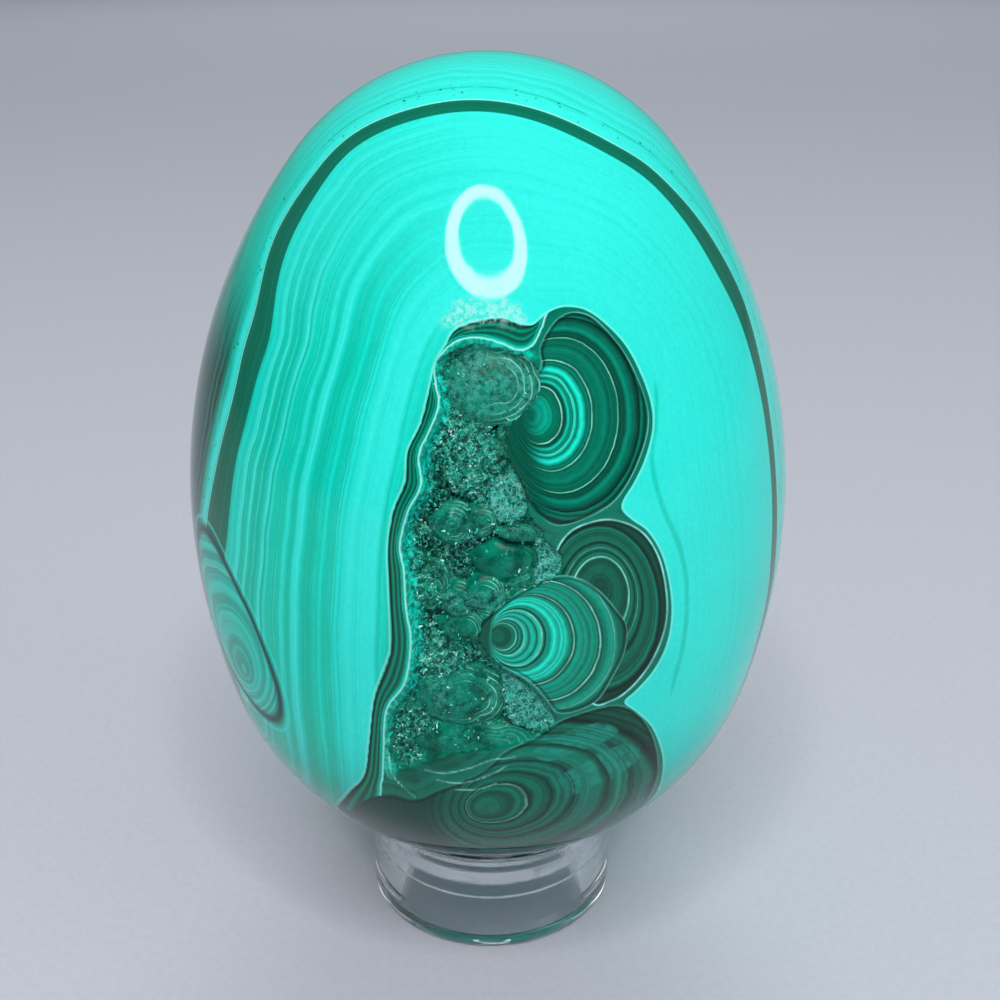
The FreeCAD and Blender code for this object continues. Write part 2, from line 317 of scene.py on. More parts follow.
def smooth_loop(points, closed=True):
    """A smooth line through given points."""
    points = np.asarray(points, float)
    count = len(points)
    if closed:
        ring = [points[i % count] for i in range(-1, count + 2)]
    else:
        ring = [2 * points[0] - points[1], *points, 2 * points[-1] - points[-2]]
    line = []
    for a, b, c, d in zip(ring, ring[1:], ring[2:], ring[3:]):
        for step in range(LINE_STEPS):
            t = step / LINE_STEPS
            line.append(0.5 * (2 * b + (c - a) * t + (2 * a - 5 * b + 4 * c - d) * t ** 2
                               + (3 * b - a - 3 * c + d) * t ** 3))
    line.append(line[0] if closed else ring[-2])
    return np.array(line)


def distance(places, line):
    """Distance from each place to a line."""
    best = np.full(len(places), np.inf)
    for start, end in zip(line, line[1:]):
        run = end - start
        long = max(run @ run, 1e-12)
        share = np.clip((places - start) @ run / long, 0, 1)
        gap = places - start - share[:, None] * run
        best = np.minimum(best, (gap * gap).sum(1))
    return np.sqrt(best)


def enclosed(places, line):
    """Which places a closed line has inside it."""
    count = np.zeros(len(places), int)
    for start, end in zip(line, line[1:]):
        crosses = (start[1] > places[:, 1]) != (end[1] > places[:, 1])
        drop = end[1] - start[1]
        if drop == 0:
            continue
        at = start[0] + (places[:, 1] - start[1]) * (end[0] - start[0]) / drop
        count += crosses & (places[:, 0] < at)
    return count % 2 == 1


def beyond(places, outline):
    """Distance outside a closed outline, negative inside it."""
    line = smooth_loop(outline)
    return np.where(enclosed(places, line), -1, 1) * distance(places, line)


def ring_share(places, rings):
    """0 inside the first ellipse and 1 on the last, for ellipses that grow evenly between them."""
    first, last, tilt = rings
    first, last = np.array(first, float), np.array(last, float)
    cosine, sine = math.cos(math.radians(tilt)), math.sin(math.radians(tilt))
    low, high = np.zeros(len(places)), np.full(len(places), float(LAST_RING))
    for _ in range(RING_HALVINGS):
        share = (low + high) / 2
        shape = first + (last - first) * share[:, None]
        x, y = (places - shape[:, :2]).T
        along = (cosine * x + sine * y) / shape[:, 2]
        over = (cosine * y - sine * x) / shape[:, 3]
        inside = along ** 2 + over ** 2 < 1
        high = np.where(inside, share, high)
        low = np.where(inside, low, share)
    return (low + high) / 2


def ragged_pocket(places):
    """Distance outside the pocket's outline, which is ragged as broken stone is."""
    return beyond(places, POCKET) + Ripple(POCKET_SEED).waves(*places.T, *POCKET_CHIPS, 3)


def ease(value, start, end):
    share = np.clip((value - start) / (end - start), 0, 1)
    return share * share * (3 - 2 * share)


RIPPLE_SIDE = 64
LAYER_SKIP = (7, 3)


class Ripple:
    """Smooth random values on a lattice, the same at each run."""

    def __init__(self, seed):
        self.table = np.random.default_rng(seed).random((RIPPLE_SIDE, RIPPLE_SIDE)) * 2 - 1

    def at(self, x, y):
        column, row = np.floor(x).astype(int), np.floor(y).astype(int)
        u, v = x - column, y - row
        u, v = u * u * (3 - 2 * u), v * v * (3 - 2 * v)
        pick = lambda i, j: self.table[(column + i) % RIPPLE_SIDE, (row + j) % RIPPLE_SIDE]
        low = pick(0, 0) * (1 - u) + pick(1, 0) * u
        high = pick(0, 1) * (1 - u) + pick(1, 1) * u
        return low * (1 - v) + high * v

    def waves(self, x, y, rise, length, layers=4):
        """Waves of a rise and a length, with finer and lower ones on them."""
        x, y, total, size = x / length, y / length, 0, 1.0
        for layer in range(layers):
            finer, (skip_x, skip_y) = 2 ** layer, LAYER_SKIP
            total = total + size * self.at(x * finer + skip_x * layer, y * finer + skip_y * layer)
            size /= 2
        return rise * total


def mesh_piece(name, vertices, faces, values=None):
    """A mesh object at the origin, with smooth faces and named values on its points."""
    mesh = bpy.data.meshes.new(name)
    mesh.from_pydata([tuple(v) for v in vertices], [], [tuple(f) for f in faces])
    mesh.update()
    for label, numbers in (values or {}).items():
        attribute = mesh.attributes.new(label, "FLOAT", "POINT")
        attribute.data.foreach_set("value", np.asarray(numbers, np.float32))
    mesh.polygons.foreach_set("use_smooth", [True] * len(mesh.polygons))
    piece = bpy.data.objects.new(name, mesh)
    bpy.context.scene.collection.objects.link(piece)
    return piece


# Shader nodes

class Value:
    """A socket of a node that Python's operators work on."""

    def __init__(self, nodes, socket):
        self.nodes = nodes
        self.socket = socket

    def math(self, operation, *others):
        return self.nodes.node("ShaderNodeMath", {"operation": operation}, (self, *others))

    def __add__(self, other):
        return self.math("ADD", other)

    def __sub__(self, other):
        return self.math("SUBTRACT", other)

    def __rsub__(self, other):
        return self.nodes.node("ShaderNodeMath", {"operation": "SUBTRACT"}, (other, self))

    def __mul__(self, other):
        return self.math("MULTIPLY", other)

    def __truediv__(self, other):
        return self.math("DIVIDE", other)

    __radd__ = __add__
    __rmul__ = __mul__

    def beside(self, output):
        """Another output of the same node."""
        return Value(self.nodes, self.socket.node.outputs[output])

    def size(self):
        return self.math("ABSOLUTE")

    def least(self, other):
        return self.math("MINIMUM", other)

    def ease(self, start, end, low=0.0, high=1.0):
        """Runs smoothly from low to high as the value goes from start to end."""
        settings = {"interpolation_type": "SMOOTHSTEP", "clamp": True}
        if start > end:
            start, end, low, high = end, start, high, low
        return self.nodes.node("ShaderNodeMapRange", settings, (self, start, end, low, high))

    def line(self, at, width):
        """1 at a value and 0 half a width away from it."""
        return (self - at).size().ease(width / 2, 0)


class Nodes:
    """A node tree, and what makes its nodes and links them."""

    def __init__(self, tree):
        self.tree = tree
        tree.nodes.clear()

    def node(self, kind, settings=None, values=(), output=0, stops=None):
        """Makes a node, sets or feeds its inputs, and gives one of its outputs."""
        node = self.tree.nodes.new(kind)
        for setting, value in (settings or {}).items():
            setattr(node, setting, value)
        if stops:
            ramp = node.color_ramp
            while len(ramp.elements) < len(stops):
                ramp.elements.new(1)
            for element, (position, colour) in zip(ramp.elements, stops):
                element.position = position
                element.color = (*colour, 1)
        pairs = values.items() if isinstance(values, dict) else enumerate(values)
        for key, value in pairs:
            self.feed(node.inputs[key], value)
        return Value(self, node.outputs[output]) if node.outputs else None

    def feed(self, socket, value):
        if isinstance(value, Value):
            self.tree.links.new(value.socket, socket)
        elif value is not None:
            if socket.type == "RGBA" and len(value) == 3:
                value = (*value, 1)
            socket.default_value = value


class Look(Nodes):
    """A material and its nodes."""

    def __init__(self, name):
        self.material = bpy.data.materials.new(name)
        self.material.use_nodes = True
        super().__init__(self.material.node_tree)
        self.places = self.node("ShaderNodeTexCoord", output="Object")

    def named(self, label):
        """The named value that the piece's points carry."""
        return self.node("ShaderNodeAttribute", {"attribute_name": label}, output="Fac")

    def mix(self, share, first, second):
        settings = {"data_type": "RGBA", "clamp_factor": True}
        return self.node("ShaderNodeMix", settings, {0: share, 6: first, 7: second}, output=2)

    def paint(self, colour, *layers):
        """A colour with layers laid over it, each of them a share and a colour."""
        for share, over in layers:
            colour = self.mix(share, colour, over)
        return colour

    def ramp(self, value, stops):
        return self.node("ShaderNodeValToRGB", {}, (value,), stops=stops)

    def stripes(self, value, per_unit, detail, seed=0.0):
        """Uneven stripes across a value, from 0 to 1."""
        return self.node("ShaderNodeTexNoise", {"noise_dimensions": "1D"}, {
            "W": value * per_unit + seed, "Scale": 1.0, "Detail": detail})

    def grain(self, size, detail=3.0, rough=0.5):
        """Grain of a size in mm, from 0 to 1."""
        return self.node("ShaderNodeTexNoise", {"noise_dimensions": "3D"}, {
            "Vector": self.places, "Scale": 1 / (size * MM), "Detail": detail, "Roughness": rough})

    def cells(self, size, feature="F1"):
        """Distances in cells of a size in mm, from their middles or from their edges."""
        return self.node("ShaderNodeTexVoronoi", {"feature": feature},
                         {"Vector": self.places, "Scale": 1 / (size * MM)}, output="Distance")

    def shade(self, colour, share):
        """A colour made lighter or darker by a share."""
        values = {0: colour, "Scale": share}
        return self.node("ShaderNodeVectorMath", {"operation": "SCALE"}, values)

    def bump(self, height, strength, depth):
        """Fine relief of a depth in mm."""
        values = {"Strength": strength, "Distance": depth * MM, "Height": height}
        return self.node("ShaderNodeBump", {}, values)

    def finish(self, **values):
        """The material, with a shader that has these inputs."""
        shader = self.tree.nodes.new("ShaderNodeBsdfPrincipled")
        for name, value in values.items():
            self.feed(shader.inputs[name.replace("_", " ")], value)
        output = self.tree.nodes.new("ShaderNodeOutputMaterial")
        self.tree.links.new(shader.outputs[0], output.inputs[0])
        return self.material


def tone(red, green, blue):
    """A colour given as it looks on a screen, 0 to 255."""
    return tuple(((c / 255 + 0.055) / 1.055) ** 2.4 if c > 10 else c / 255 / 12.92
                 for c in (red, green, blue))


# Colours of the stone
PALE = tone(54, 250, 234)
TURQUOISE = tone(16, 240, 220)
MINT = tone(2, 222, 192)
SHADE = tone(0, 206, 176)
SEA = tone(0, 156, 126)
LOBE = tone(0, 126, 100)
BAND = tone(0, 106, 82)
DEEP = tone(0, 78, 60)
BLACK = tone(0, 34, 28)
BRIGHT = tone(20, 214, 186)
DUSK = tone(2, 62, 62)
CREAM = tone(154, 255, 232)
PALE_LINE = tone(150, 255, 244)
FROST = tone(150, 215, 205)
FIELD_LINE = tone(96, 255, 236)
PALE_LOBE_LIGHT, PALE_LOBE_DARK = tone(24, 236, 212), tone(0, 176, 156)
PALE_LOBE_BORDER = tone(0, 72, 68)
# The last colour here is painted shade: the dark teal that the cluster darkens to towards the
# bottom of the egg
GROUND_GREEN, WORN_GREEN, LOW_SHADE_TEAL = tone(10, 128, 106), tone(26, 158, 136), tone(2, 38, 40)
# Painted reflection: the white of the flare under the ring lamp's highlight
PAINTED_FLARE_WHITE = tone(200, 250, 244)
# Rough pocket: growths, the crust between them, flat patches and crystals
GROWTH_DARK, GROWTH_GREEN = tone(0, 80, 60), tone(0, 134, 106)
GROWTH_HAZE, GROWTH_ARC = tone(70, 160, 150), tone(10, 158, 132)
GROWTH_PALE_ARC = tone(168, 250, 226)
CRUST_LIGHT, CRUST_DARK, CRUST_WEB = tone(24, 184, 156), tone(0, 44, 34), tone(160, 246, 226)
PATCH_DARK, PATCH_LIGHT, PATCH_VEIN = tone(8, 112, 96), tone(62, 190, 170), tone(140, 232, 214)
# Painted shade: the near-black of the pocket's deepest places
POCKET_DEPTH_SHADE = tone(0, 22, 16)
CRYSTAL_DARK, CRYSTAL_GREEN = tone(0, 104, 82), tone(44, 212, 186)
CRYSTAL_WHITE = tone(196, 244, 234)
CLEAR = tone(246, 249, 250)
FLOOR_GREY, FLOOR_LIGHT = tone(196, 202, 212), tone(204, 209, 218)


# Polished skin of the egg

PLACES_PER_MM = 10.6
# In mm: the middle that the band runs round, where the layers behind start, how far the lower
# lobe's rings reach under the egg, and what stands for far away
FRONT_MIDDLE = 50.5
LAYERS_BEHIND_START = -9
UNDER_REACH = 17
UNDER_LAP = 1
FAR_AWAY = 20
TINY = 1e-6
# Grid: runs round the egg as (last degree, step in mm), then heights between which the profile
# is finest, and steps, all in mm
FINE_STEP = 0.27
ROUND_RUNS = [(-95, 0.95), (-34, 0.50), (36, FINE_STEP), (95, 0.70), (180, 0.95)]
FINE_HEIGHTS = (21, 70)
LOW_STEP, HIGH_STEP, TIP_GAP = 0.5, 0.6, 0.5
# How many degrees the band's edge and width are evened out over, on each side
BAND_SMOOTH = 3
WIDTH_SMOOTH = 11
# Fades, each from its start to its end: how squarely the stone faces the drawing's eye
FACING = (0.02, 0.22)
# By columns and rows of the picture
STRIPED_COLUMNS, STRIPED_ROWS = (520, 360), (180, 380)
STRIPED_LEAST, STRIPED_ELSEWHERE = 0.35, 0.6
FAINT_TOP, FAINT_FOOT, FAINT_FADE = (400, 340), (670, 740), 0.6
UPPER_FADE, UPPER_FADE_ROW, UPPER_FADE_LEAN = (544, 520), 415, 0.15
FAN_FADE = (498, 486)
LOWER_FADE, LOWER_FADE_ROW, LOWER_FADE_LEAN = (480, 420), 800, 0.3
# By depths, heights and distances to the left, in mm
BEHIND = (-4, 14)
# Painted shade: heights over which the cluster and the field darken towards the bottom of the egg
LOW_SHADE_HEIGHTS, FOOT_SHADE_HEIGHTS = (30, 12), (34, 15)
DUSK_LEFT, DUSK_HEIGHTS, DUSK_START, DUSK_END = (4, 16), (72, 60), (0.7, 2.6), (18, 6)
AWAY_BEHIND, AWAY_LEFT, AWAY_HEIGHTS = (0, 12), (0, 14), (86, 70)

LOBE_FORMS = {"upper": (UPPER_LOBE, UPPER_RINGS), "side": (SIDE_LOBE, SIDE_RINGS),
              "fan": (FAN_LOBE, FAN_RINGS), "lower": (LOWER_LOBE, LOWER_RINGS)}


def graded(start, runs):
    """Positions from a start through runs of (end, step)."""
    positions = [start]
    for end, step in runs:
        count = max(1, round((end - start) / step))
        positions.extend(np.linspace(start, end, count + 1)[1:])
        start = end
    return np.array(positions)


def skin_grid():
    """Angles round the egg and distances along its profile, finest where the cluster is."""
    widest = EGG.radii.max()
    turns = graded(-math.pi, [(math.radians(end), step * MM / widest) for end, step in ROUND_RUNS])
    low, high = [EGG.path_at(height * MM) for height in FINE_HEIGHTS]
    gap = TIP_GAP * MM
    runs = [(low, LOW_STEP * MM), (high, FINE_STEP * MM), (EGG.long - gap, HIGH_STEP * MM)]
    return turns[:-1], graded(gap, runs)


def even_out(values, reach):
    """Each value of a ring of values made the mean of itself and its neighbours."""
    return sum(np.roll(values, k) for k in range(-reach, reach + 1)) / (2 * reach + 1)


def band_depths():
    """Angles round the front's middle, and the band's inner and outer depths there in mm."""
    even = np.radians(np.arange(-180, 180))
    edges = []
    for column, line in ((1, BAND_INSIDE), (2, BAND_OUTSIDE)):
        x, y, z = DRAWING.on_stone(smooth_loop(line, closed=False)).T / MM
        angles = [*np.arctan2(z - FRONT_MIDDLE, x), *(math.radians(row[0]) for row in BAND_UNDER)]
        depths = [*y, *(row[column] for row in BAND_UNDER)]
        edges.append(np.interp(even, angles, depths, period=2 * math.pi))
    inner = even_out(edges[0], BAND_SMOOTH)
    return even, inner, inner + even_out(edges[1] - edges[0], WIDTH_SMOOTH)


def skin_values(points, outward):
    """Where each point lies among the stone's bands and lobes, in mm and in shares."""
    x, y, z = points.T / MM
    sight = DRAWING.eye - points
    facing = (sight * outward).sum(1) / np.linalg.norm(sight, axis=1)
    front = facing > 0
    in_view = ease(facing, *FACING)[front]
    seen = DRAWING.place(points)[front]
    columns, rows = seen.T

    def from_front(measured, elsewhere=FAR_AWAY):
        values = np.array(np.broadcast_to(elsewhere, len(points)), float)
        values[front] = measured * in_view + values[front] * (1 - in_view)
        return values

    def edge(*outlines, elsewhere=FAR_AWAY):
        gaps = [beyond(seen, outline) for outline in outlines]
        return from_front(np.min(gaps, 0) / PLACES_PER_MM, elsewhere)

    def gap_to(*lines):
        gaps = [distance(seen, smooth_loop(line, closed=False)) for line in lines]
        return np.min(gaps, 0) / PLACES_PER_MM

    even, *depths = band_depths()
    angles = np.arctan2(z - FRONT_MIDDLE, x)
    inner, outer = [np.interp(angles, even, depth, period=2 * math.pi) for depth in depths]
    layer_start = outer + (LAYERS_BEHIND_START - outer) * ease(y, *BEHIND)
    nucleus = DRAWING.on_stone([LOWER_RINGS[0][:2]])[0]
    under = np.linalg.norm(points - nucleus, axis=1) / MM
    rim = edge(CLUSTER, elsewhere=under - UNDER_REACH)
    inside = np.clip(-rim, 0, None)
    bright = edge(BRIGHT_LINE + BRIGHT_CLOSE)
    to_band = from_front(gap_to(FIELD_LOW_LEFT + BAND_INSIDE + FIELD_LOW_RIGHT), 1)
    beside = np.maximum(beyond(seen, FIELD_BESIDE_CLUSTER), 0)
    to_cluster = from_front(beside / PLACES_PER_MM, 1)
    striped_down = STRIPED_LEAST + (1 - STRIPED_LEAST) * ease(rows, *STRIPED_ROWS)
    faint_ends = FAINT_FADE * (ease(rows, *FAINT_TOP) + ease(rows, *FAINT_FOOT))
    upper_bend = UPPER_FADE_LEAN * abs(rows - UPPER_FADE_ROW)
    lower_bend = LOWER_FADE_LEAN * (rows - LOWER_FADE_ROW)
    values = {
        "layer": y - np.where(y > outer, layer_start, outer),
        "band": (y - inner) / (outer - inner),
        "rim": rim,
        "drift": to_cluster / (to_cluster + to_band + TINY),
        "striped": from_front(ease(columns, *STRIPED_COLUMNS) * striped_down, STRIPED_ELSEWHERE),
        "border": inside / (inside + np.abs(bright) + TINY),
        "bright": bright,
        "faint": from_front(gap_to(FAINT_LINE) + faint_ends),
        "upper_fade": from_front(ease(columns - upper_bend, *UPPER_FADE), 0),
        "fan_fade": from_front(ease(columns, *FAN_FADE), 0),
        "lower_fade": from_front(ease(columns + lower_bend, *LOWER_FADE), 1),
        "dusk": ease(-x, *DUSK_LEFT) * ease(z, *DUSK_HEIGHTS)
                * ease(y - outer, *DUSK_START) * ease(y, *DUSK_END),
        # Painted shade: shares by which the cluster and the field darken towards the bottom of the
        # egg
        "low": ease(z, *LOW_SHADE_HEIGHTS),
        "foot_shade": ease(z, *FOOT_SHADE_HEIGHTS),
        "turned_away": np.maximum(ease(y, *AWAY_BEHIND),
                                  ease(-x, *AWAY_LEFT) * ease(z, *AWAY_HEIGHTS)),
        "pale_lobe": lobe_share(points, PALE_LOBE_PLACE, PALE_LOBE_HALF, PALE_LOBE_TILT),
        "pale_ring": from_front(ring_share(seen, PALE_RINGS), 1),
        "worn": edge(*WORN_PATCHES),
        # Painted reflection: where the flare under the ring lamp's highlight lies
        "painted_flare": edge(PAINTED_FLARE),
        "veins": from_front(gap_to(*VEINS)),
        "pocket": from_front(ragged_pocket(seen) / PLACES_PER_MM),
    }
    beneath = {"lower": (under - UNDER_REACH + UNDER_LAP, under / UNDER_REACH)}
    for name, (outline, rings) in LOBE_FORMS.items():
        edge_there, ring_there = beneath.get(name, (FAR_AWAY, LAST_RING))
        values[name + "_edge"] = edge(outline, elsewhere=edge_there)
        values[name + "_ring"] = from_front(ring_share(seen, rings), ring_there)
    return values


def lobe_share(points, place, half_sizes, tilt):
    """0 at the middle of an egg-shaped lobe in the surface and 1 at its edge."""
    middle = DRAWING.on_stone([place])[0]
    out = EGG.out_at(middle)
    level = np.array([-out[1], out[0], 0.0])
    level /= np.linalg.norm(level)
    upward = np.cross(out, level)
    cosine, sine = math.cos(math.radians(tilt)), math.sin(math.radians(tilt))
    across, along = cosine * level + sine * upward, cosine * upward - sine * level
    offset = (points - middle) / MM
    parts = [offset @ axis / half for axis, half in zip((across, out, along), half_sizes)]
    return np.sqrt(sum(part ** 2 for part in parts))


def make_skin():
    turns, alongs = skin_grid()
    turn_grid, along_grid = np.meshgrid(turns, alongs)
    points, outward = EGG.point(turn_grid.ravel(), along_grid.ravel())
    tips = np.array([[0, 0, EGG.heights[0]], [0, 0, EGG.heights[-1]]])
    points = np.concatenate([points, tips])
    outward = np.concatenate([outward, [[0, 0, -1], [0, 0, 1]]])
    values = skin_values(points, outward)
    sink = SKIN_SINK * MM * ease(-values["pocket"], 0.0, WALL_WIDTH)
    points = points - outward * sink[:, None]
    rows, columns = len(alongs), len(turns)
    index = np.arange(rows * columns).reshape(rows, columns)
    beside = np.roll(index, -1, axis=1)
    faces = np.stack([index[:-1], beside[:-1], beside[1:], index[1:]], -1).reshape(-1, 4).tolist()
    low_tip, high_tip = rows * columns, rows * columns + 1
    faces += [(low_tip, beside[0, i], index[0, i]) for i in range(columns)]
    faces += [(high_tip, index[-1, i], beside[-1, i]) for i in range(columns)]
    return mesh_piece("egg_skin", points, faces, values)


# Lining of the rough pocket

GRID_STEP = 1.5
LINING_PLACES = (374, 332, 574, 784)
LINING_THICK = 0.5
FLOOR_DEPTH = 1.9
# Growths: place in the picture, half width and half height there, depth in mm at the top and
# at the edge, roughness, paleness, and how clear their rings are
GROWTHS = [
    (492, 384, 52, 42, 0.15, 1.15, 0.12, 0.15, 0.80),
    (458, 440, 36, 34, 0.55, 1.40, 1.00, 0.10, 0.00),
    (480, 470, 40, 34, 0.50, 1.30, 0.90, 0.12, 0.15),
    (450, 527, 25, 23, 0.45, 1.50, 0.35, 0.05, 1.00),
    (482, 522, 18, 19, 0.45, 1.40, 0.25, 0.05, 0.70),
    (520, 534, 26, 9, 0.15, 0.80, 0.10, 0.10, 0.30),
    (506, 565, 38, 24, 0.40, 1.70, 0.05, 0.00, 0.25),
    (426, 590, 24, 30, 0.60, 1.70, 0.70, 0.05, 0.60),
    (484, 598, 21, 21, 0.40, 1.40, 0.10, 0.00, 0.90),
    (458, 606, 22, 20, 0.50, 1.50, 0.25, 0.00, 0.90),
    (462, 634, 28, 18, 0.70, 1.60, 0.10, 0.00, 0.60),
    (440, 672, 36, 28, 0.70, 1.60, 0.95, 0.15, 0.10),
    (462, 704, 52, 34, 0.40, 1.40, 0.14, 0.05, 1.00),
    (414, 733, 30, 26, 0.60, 1.50, 0.90, 0.10, 0.20),
    (478, 748, 70, 18, 0.20, 0.90, 0.10, 0.00, 0.20),
]
# Flat pale patches: outlines in the picture, and their depth and roughness
PALE_PATCHES = [
    [(490, 501), (498, 483), (511, 475), (521, 483), (526, 506), (521, 520), (500, 523)],
    [(539, 541), (557, 549), (563, 564), (553, 576), (536, 582), (540, 566)],
    [(505, 677), (521, 684), (538, 696), (556, 720), (543, 733), (511, 725), (507, 704)],
]
PATCH_DEPTH = 0.42
PATCH_ROUGH = 0.40
# How far a patch spreads, how steeply it catches and falls away there, and how its paleness ends
PATCH_SPREAD, PATCH_CATCH, PATCH_FALL, PATCH_PALE = 3, 0.3, 0.15, (2, -1)
# Waves of the lining: rise and length, which is in places of the picture, as the wander is
LINING_SEEDS = (3, 5, 11)
WANDER, WANDER_LENGTH, WANDER_APART = 3.0, 16, (31, 17)
FLOOR_WAVES, PATCH_WAVES, LUMPS, FINE_LUMPS = (0.25, 9), (1.2, 6), (0.22, 5), (0.12, 2.2)
FLOOR_ROUGH, FLOOR_PALE = 0.8, 0.05
# The wall under the pocket's outline: depth and slope, more of both on the left, and its reach
WALL, LEFT_WALL, WALL_REACH = (0.15, 0.10), (0.35, 0.02), 12
LEFT_COLUMNS, LEFT_TOP, LEFT_FOOT = (470, 440), (350, 380), (742, 700)
# What lies under the skin stays at least this deep, and nothing goes past the limits
UNDER_SKIN, UNDER_SKIN_DEPTH, DEPTH_LIMITS = -2, 0.9, (0.08, 2.6)
# How roughness, crust and slope fade with the distance inside the outline
ROUGH_FADE, CRUST_FADE, SLOPE_FADE = (0, 6), (1, 8), (10, 2)


def lining_shape(places):
    """Depths in mm, and the finish, at places of the picture."""
    u, v = places.T
    wander, coarse, fine = [Ripple(seed) for seed in LINING_SEEDS]
    wide_u, wide_v = u / WANDER_LENGTH, v / WANDER_LENGTH
    bend_u = u + WANDER * wander.at(wide_u, wide_v)
    bend_v = v + WANDER * wander.at(wide_u + WANDER_APART[0], wide_v + WANDER_APART[1])
    depth = FLOOR_DEPTH + coarse.waves(u, v, *FLOOR_WAVES)
    rough, pale, ring, clear, lee = [np.full(len(u), float(value))
                                     for value in (FLOOR_ROUGH, FLOOR_PALE, 1, 0, 0)]

    def take(wins, *changes):
        for values, value in changes:
            np.copyto(values, value, where=wins)

    for at_u, at_v, half_u, half_v, top, low, roughness, paleness, clearness in GROWTHS:
        aside = (bend_u - at_u) / half_u
        share = np.hypot(aside, (bend_v - at_v) / half_v)
        rise = top + (low - top) * (1 - np.sqrt(np.clip(1 - share ** 2, 0, 1)))
        take((share < 1) & (rise < depth), (depth, rise), (ring, share), (lee, aside),
             (rough, roughness), (pale, paleness), (clear, clearness))
    for outline in PALE_PATCHES:
        patch = beyond(places, outline) + fine.waves(u, v, *PATCH_WAVES, 2)
        near = (patch < PATCH_SPREAD) & (depth > PATCH_DEPTH + PATCH_CATCH * patch)
        take((patch < 0) | near, (depth, PATCH_DEPTH + PATCH_FALL * np.maximum(patch, 0)),
             (rough, PATCH_ROUGH), (ring, 1), (clear, 0), (pale, ease(patch, *PATCH_PALE)))
    within = -ragged_pocket(places)
    left_side = ease(u, *LEFT_COLUMNS) * ease(v, *LEFT_TOP) * ease(v, *LEFT_FOOT)
    wall = WALL[0] + WALL[1] * within + left_side * (LEFT_WALL[0] + LEFT_WALL[1] * within)
    take((wall < depth) & (within > -WALL_REACH), (depth, wall))
    lumps = coarse.waves(u, v, *LUMPS, 3) + np.abs(fine.waves(u, v, *FINE_LUMPS, 2))
    depth = depth + rough * lumps
    take(within < UNDER_SKIN, (depth, np.maximum(depth, UNDER_SKIN_DEPTH)))
    return np.clip(depth, *DEPTH_LIMITS), {
        "rough": rough * ease(within, *ROUGH_FADE), "crust": rough * ease(within, *CRUST_FADE),
        "slope": ease(within, *SLOPE_FADE) * left_side, "pale": pale, "ring": ring,
        "clear": clear, "lee": lee, "deep": depth,
    }


def make_lining():
    left, top, right, bottom = LINING_PLACES
    columns = np.arange(left, right, GRID_STEP)
    rows = np.arange(top, bottom, GRID_STEP)
    places = np.stack(np.meshgrid(columns, rows), -1).reshape(-1, 2)
    depth, values = lining_shape(places)
    surface = DRAWING.on_stone(places)
    out = EGG.out_at(surface)
    front = surface - out * (depth * MM)[:, None]
    back = surface - out * ((depth + LINING_THICK) * MM)[:, None]
    count = len(places)
    index = np.arange(count).reshape(len(rows), len(columns))
    quads = np.stack([index[1:, :-1], index[1:, 1:], index[:-1, 1:], index[:-1, :-1]], -1)
    faces = quads.reshape(-1, 4).tolist()
    faces += (quads[..., ::-1].reshape(-1, 4) + count).tolist()
    around = [*index[0], *index[1:, -1], *index[-1, -2::-1], *index[-2:0:-1, 0]]
    for start, end in zip(around, around[1:] + around[:1]):
        faces.append((start, end, end + count, start + count))
    values = {name: np.concatenate([numbers, numbers]) for name, numbers in values.items()}
    values["crust"][count:] = 0
    return mesh_piece("pocket_lining", np.concatenate([front, back]), faces, values)


# Tiny crystals that crust the rough parts of the pocket

CRYSTALS_PER_MM2 = 9.0
CRYSTAL_SMALL, CRYSTAL_LARGE = 0.06 * MM, 0.20 * MM
CRYSTAL_SEED = 4
# The cone that each of them is, in shares of its size, and how far it leans, in radians
CRYSTAL_CONE = {"Vertices": 5, "Radius Top": 0.25, "Radius Bottom": 0.6, "Depth": 1.6}
CRYSTAL_LEAN = 0.9


def crystal_tree(material):
    """Scatters small pointed crystals over a lining, thickest where its points say."""
    tree = bpy.data.node_groups.new("crystal_crust", "GeometryNodeTree")
    for name, way in (("Lining", "INPUT"), ("Crystals", "OUTPUT")):
        tree.interface.new_socket(name, in_out=way, socket_type="NodeSocketGeometry")
    node = Nodes(tree).node
    lining = node("NodeGroupInput")
    crust = node("GeometryNodeInputNamedAttribute", {"data_type": "FLOAT"}, {"Name": "crust"})
    spread = node("GeometryNodeDistributePointsOnFaces", {"distribute_method": "RANDOM"}, {
        "Mesh": lining, "Density": crust * (CRYSTALS_PER_MM2 / MM ** 2), "Seed": CRYSTAL_SEED})
    cone = node("GeometryNodeMeshCone", {"fill_type": "NGON"}, CRYSTAL_CONE)
    size = node("FunctionNodeRandomValue", {"data_type": "FLOAT"},
                {2: CRYSTAL_SMALL, 3: CRYSTAL_LARGE, "Seed": CRYSTAL_SEED}, 1)
    lean = (CRYSTAL_LEAN, CRYSTAL_LEAN, math.pi)
    turn = node("FunctionNodeRandomValue", {"data_type": "FLOAT_VECTOR"},
                {0: [-angle for angle in lean], 1: lean, "Seed": CRYSTAL_SEED})
    turned = node("FunctionNodeRotateRotation", {"rotation_space": "LOCAL"},
                  {"Rotation": spread.beside("Rotation"), "Rotate By": turn})
    placed = node("GeometryNodeInstanceOnPoints", {}, {
        "Points": spread, "Instance": cone, "Rotation": turned, "Scale": size})
    real = node("GeometryNodeRealizeInstances", {}, (placed,))
    dressed = node("GeometryNodeSetMaterial", {}, {"Geometry": real, "Material": material})
    node("NodeGroupOutput", {}, (dressed,))
    return tree


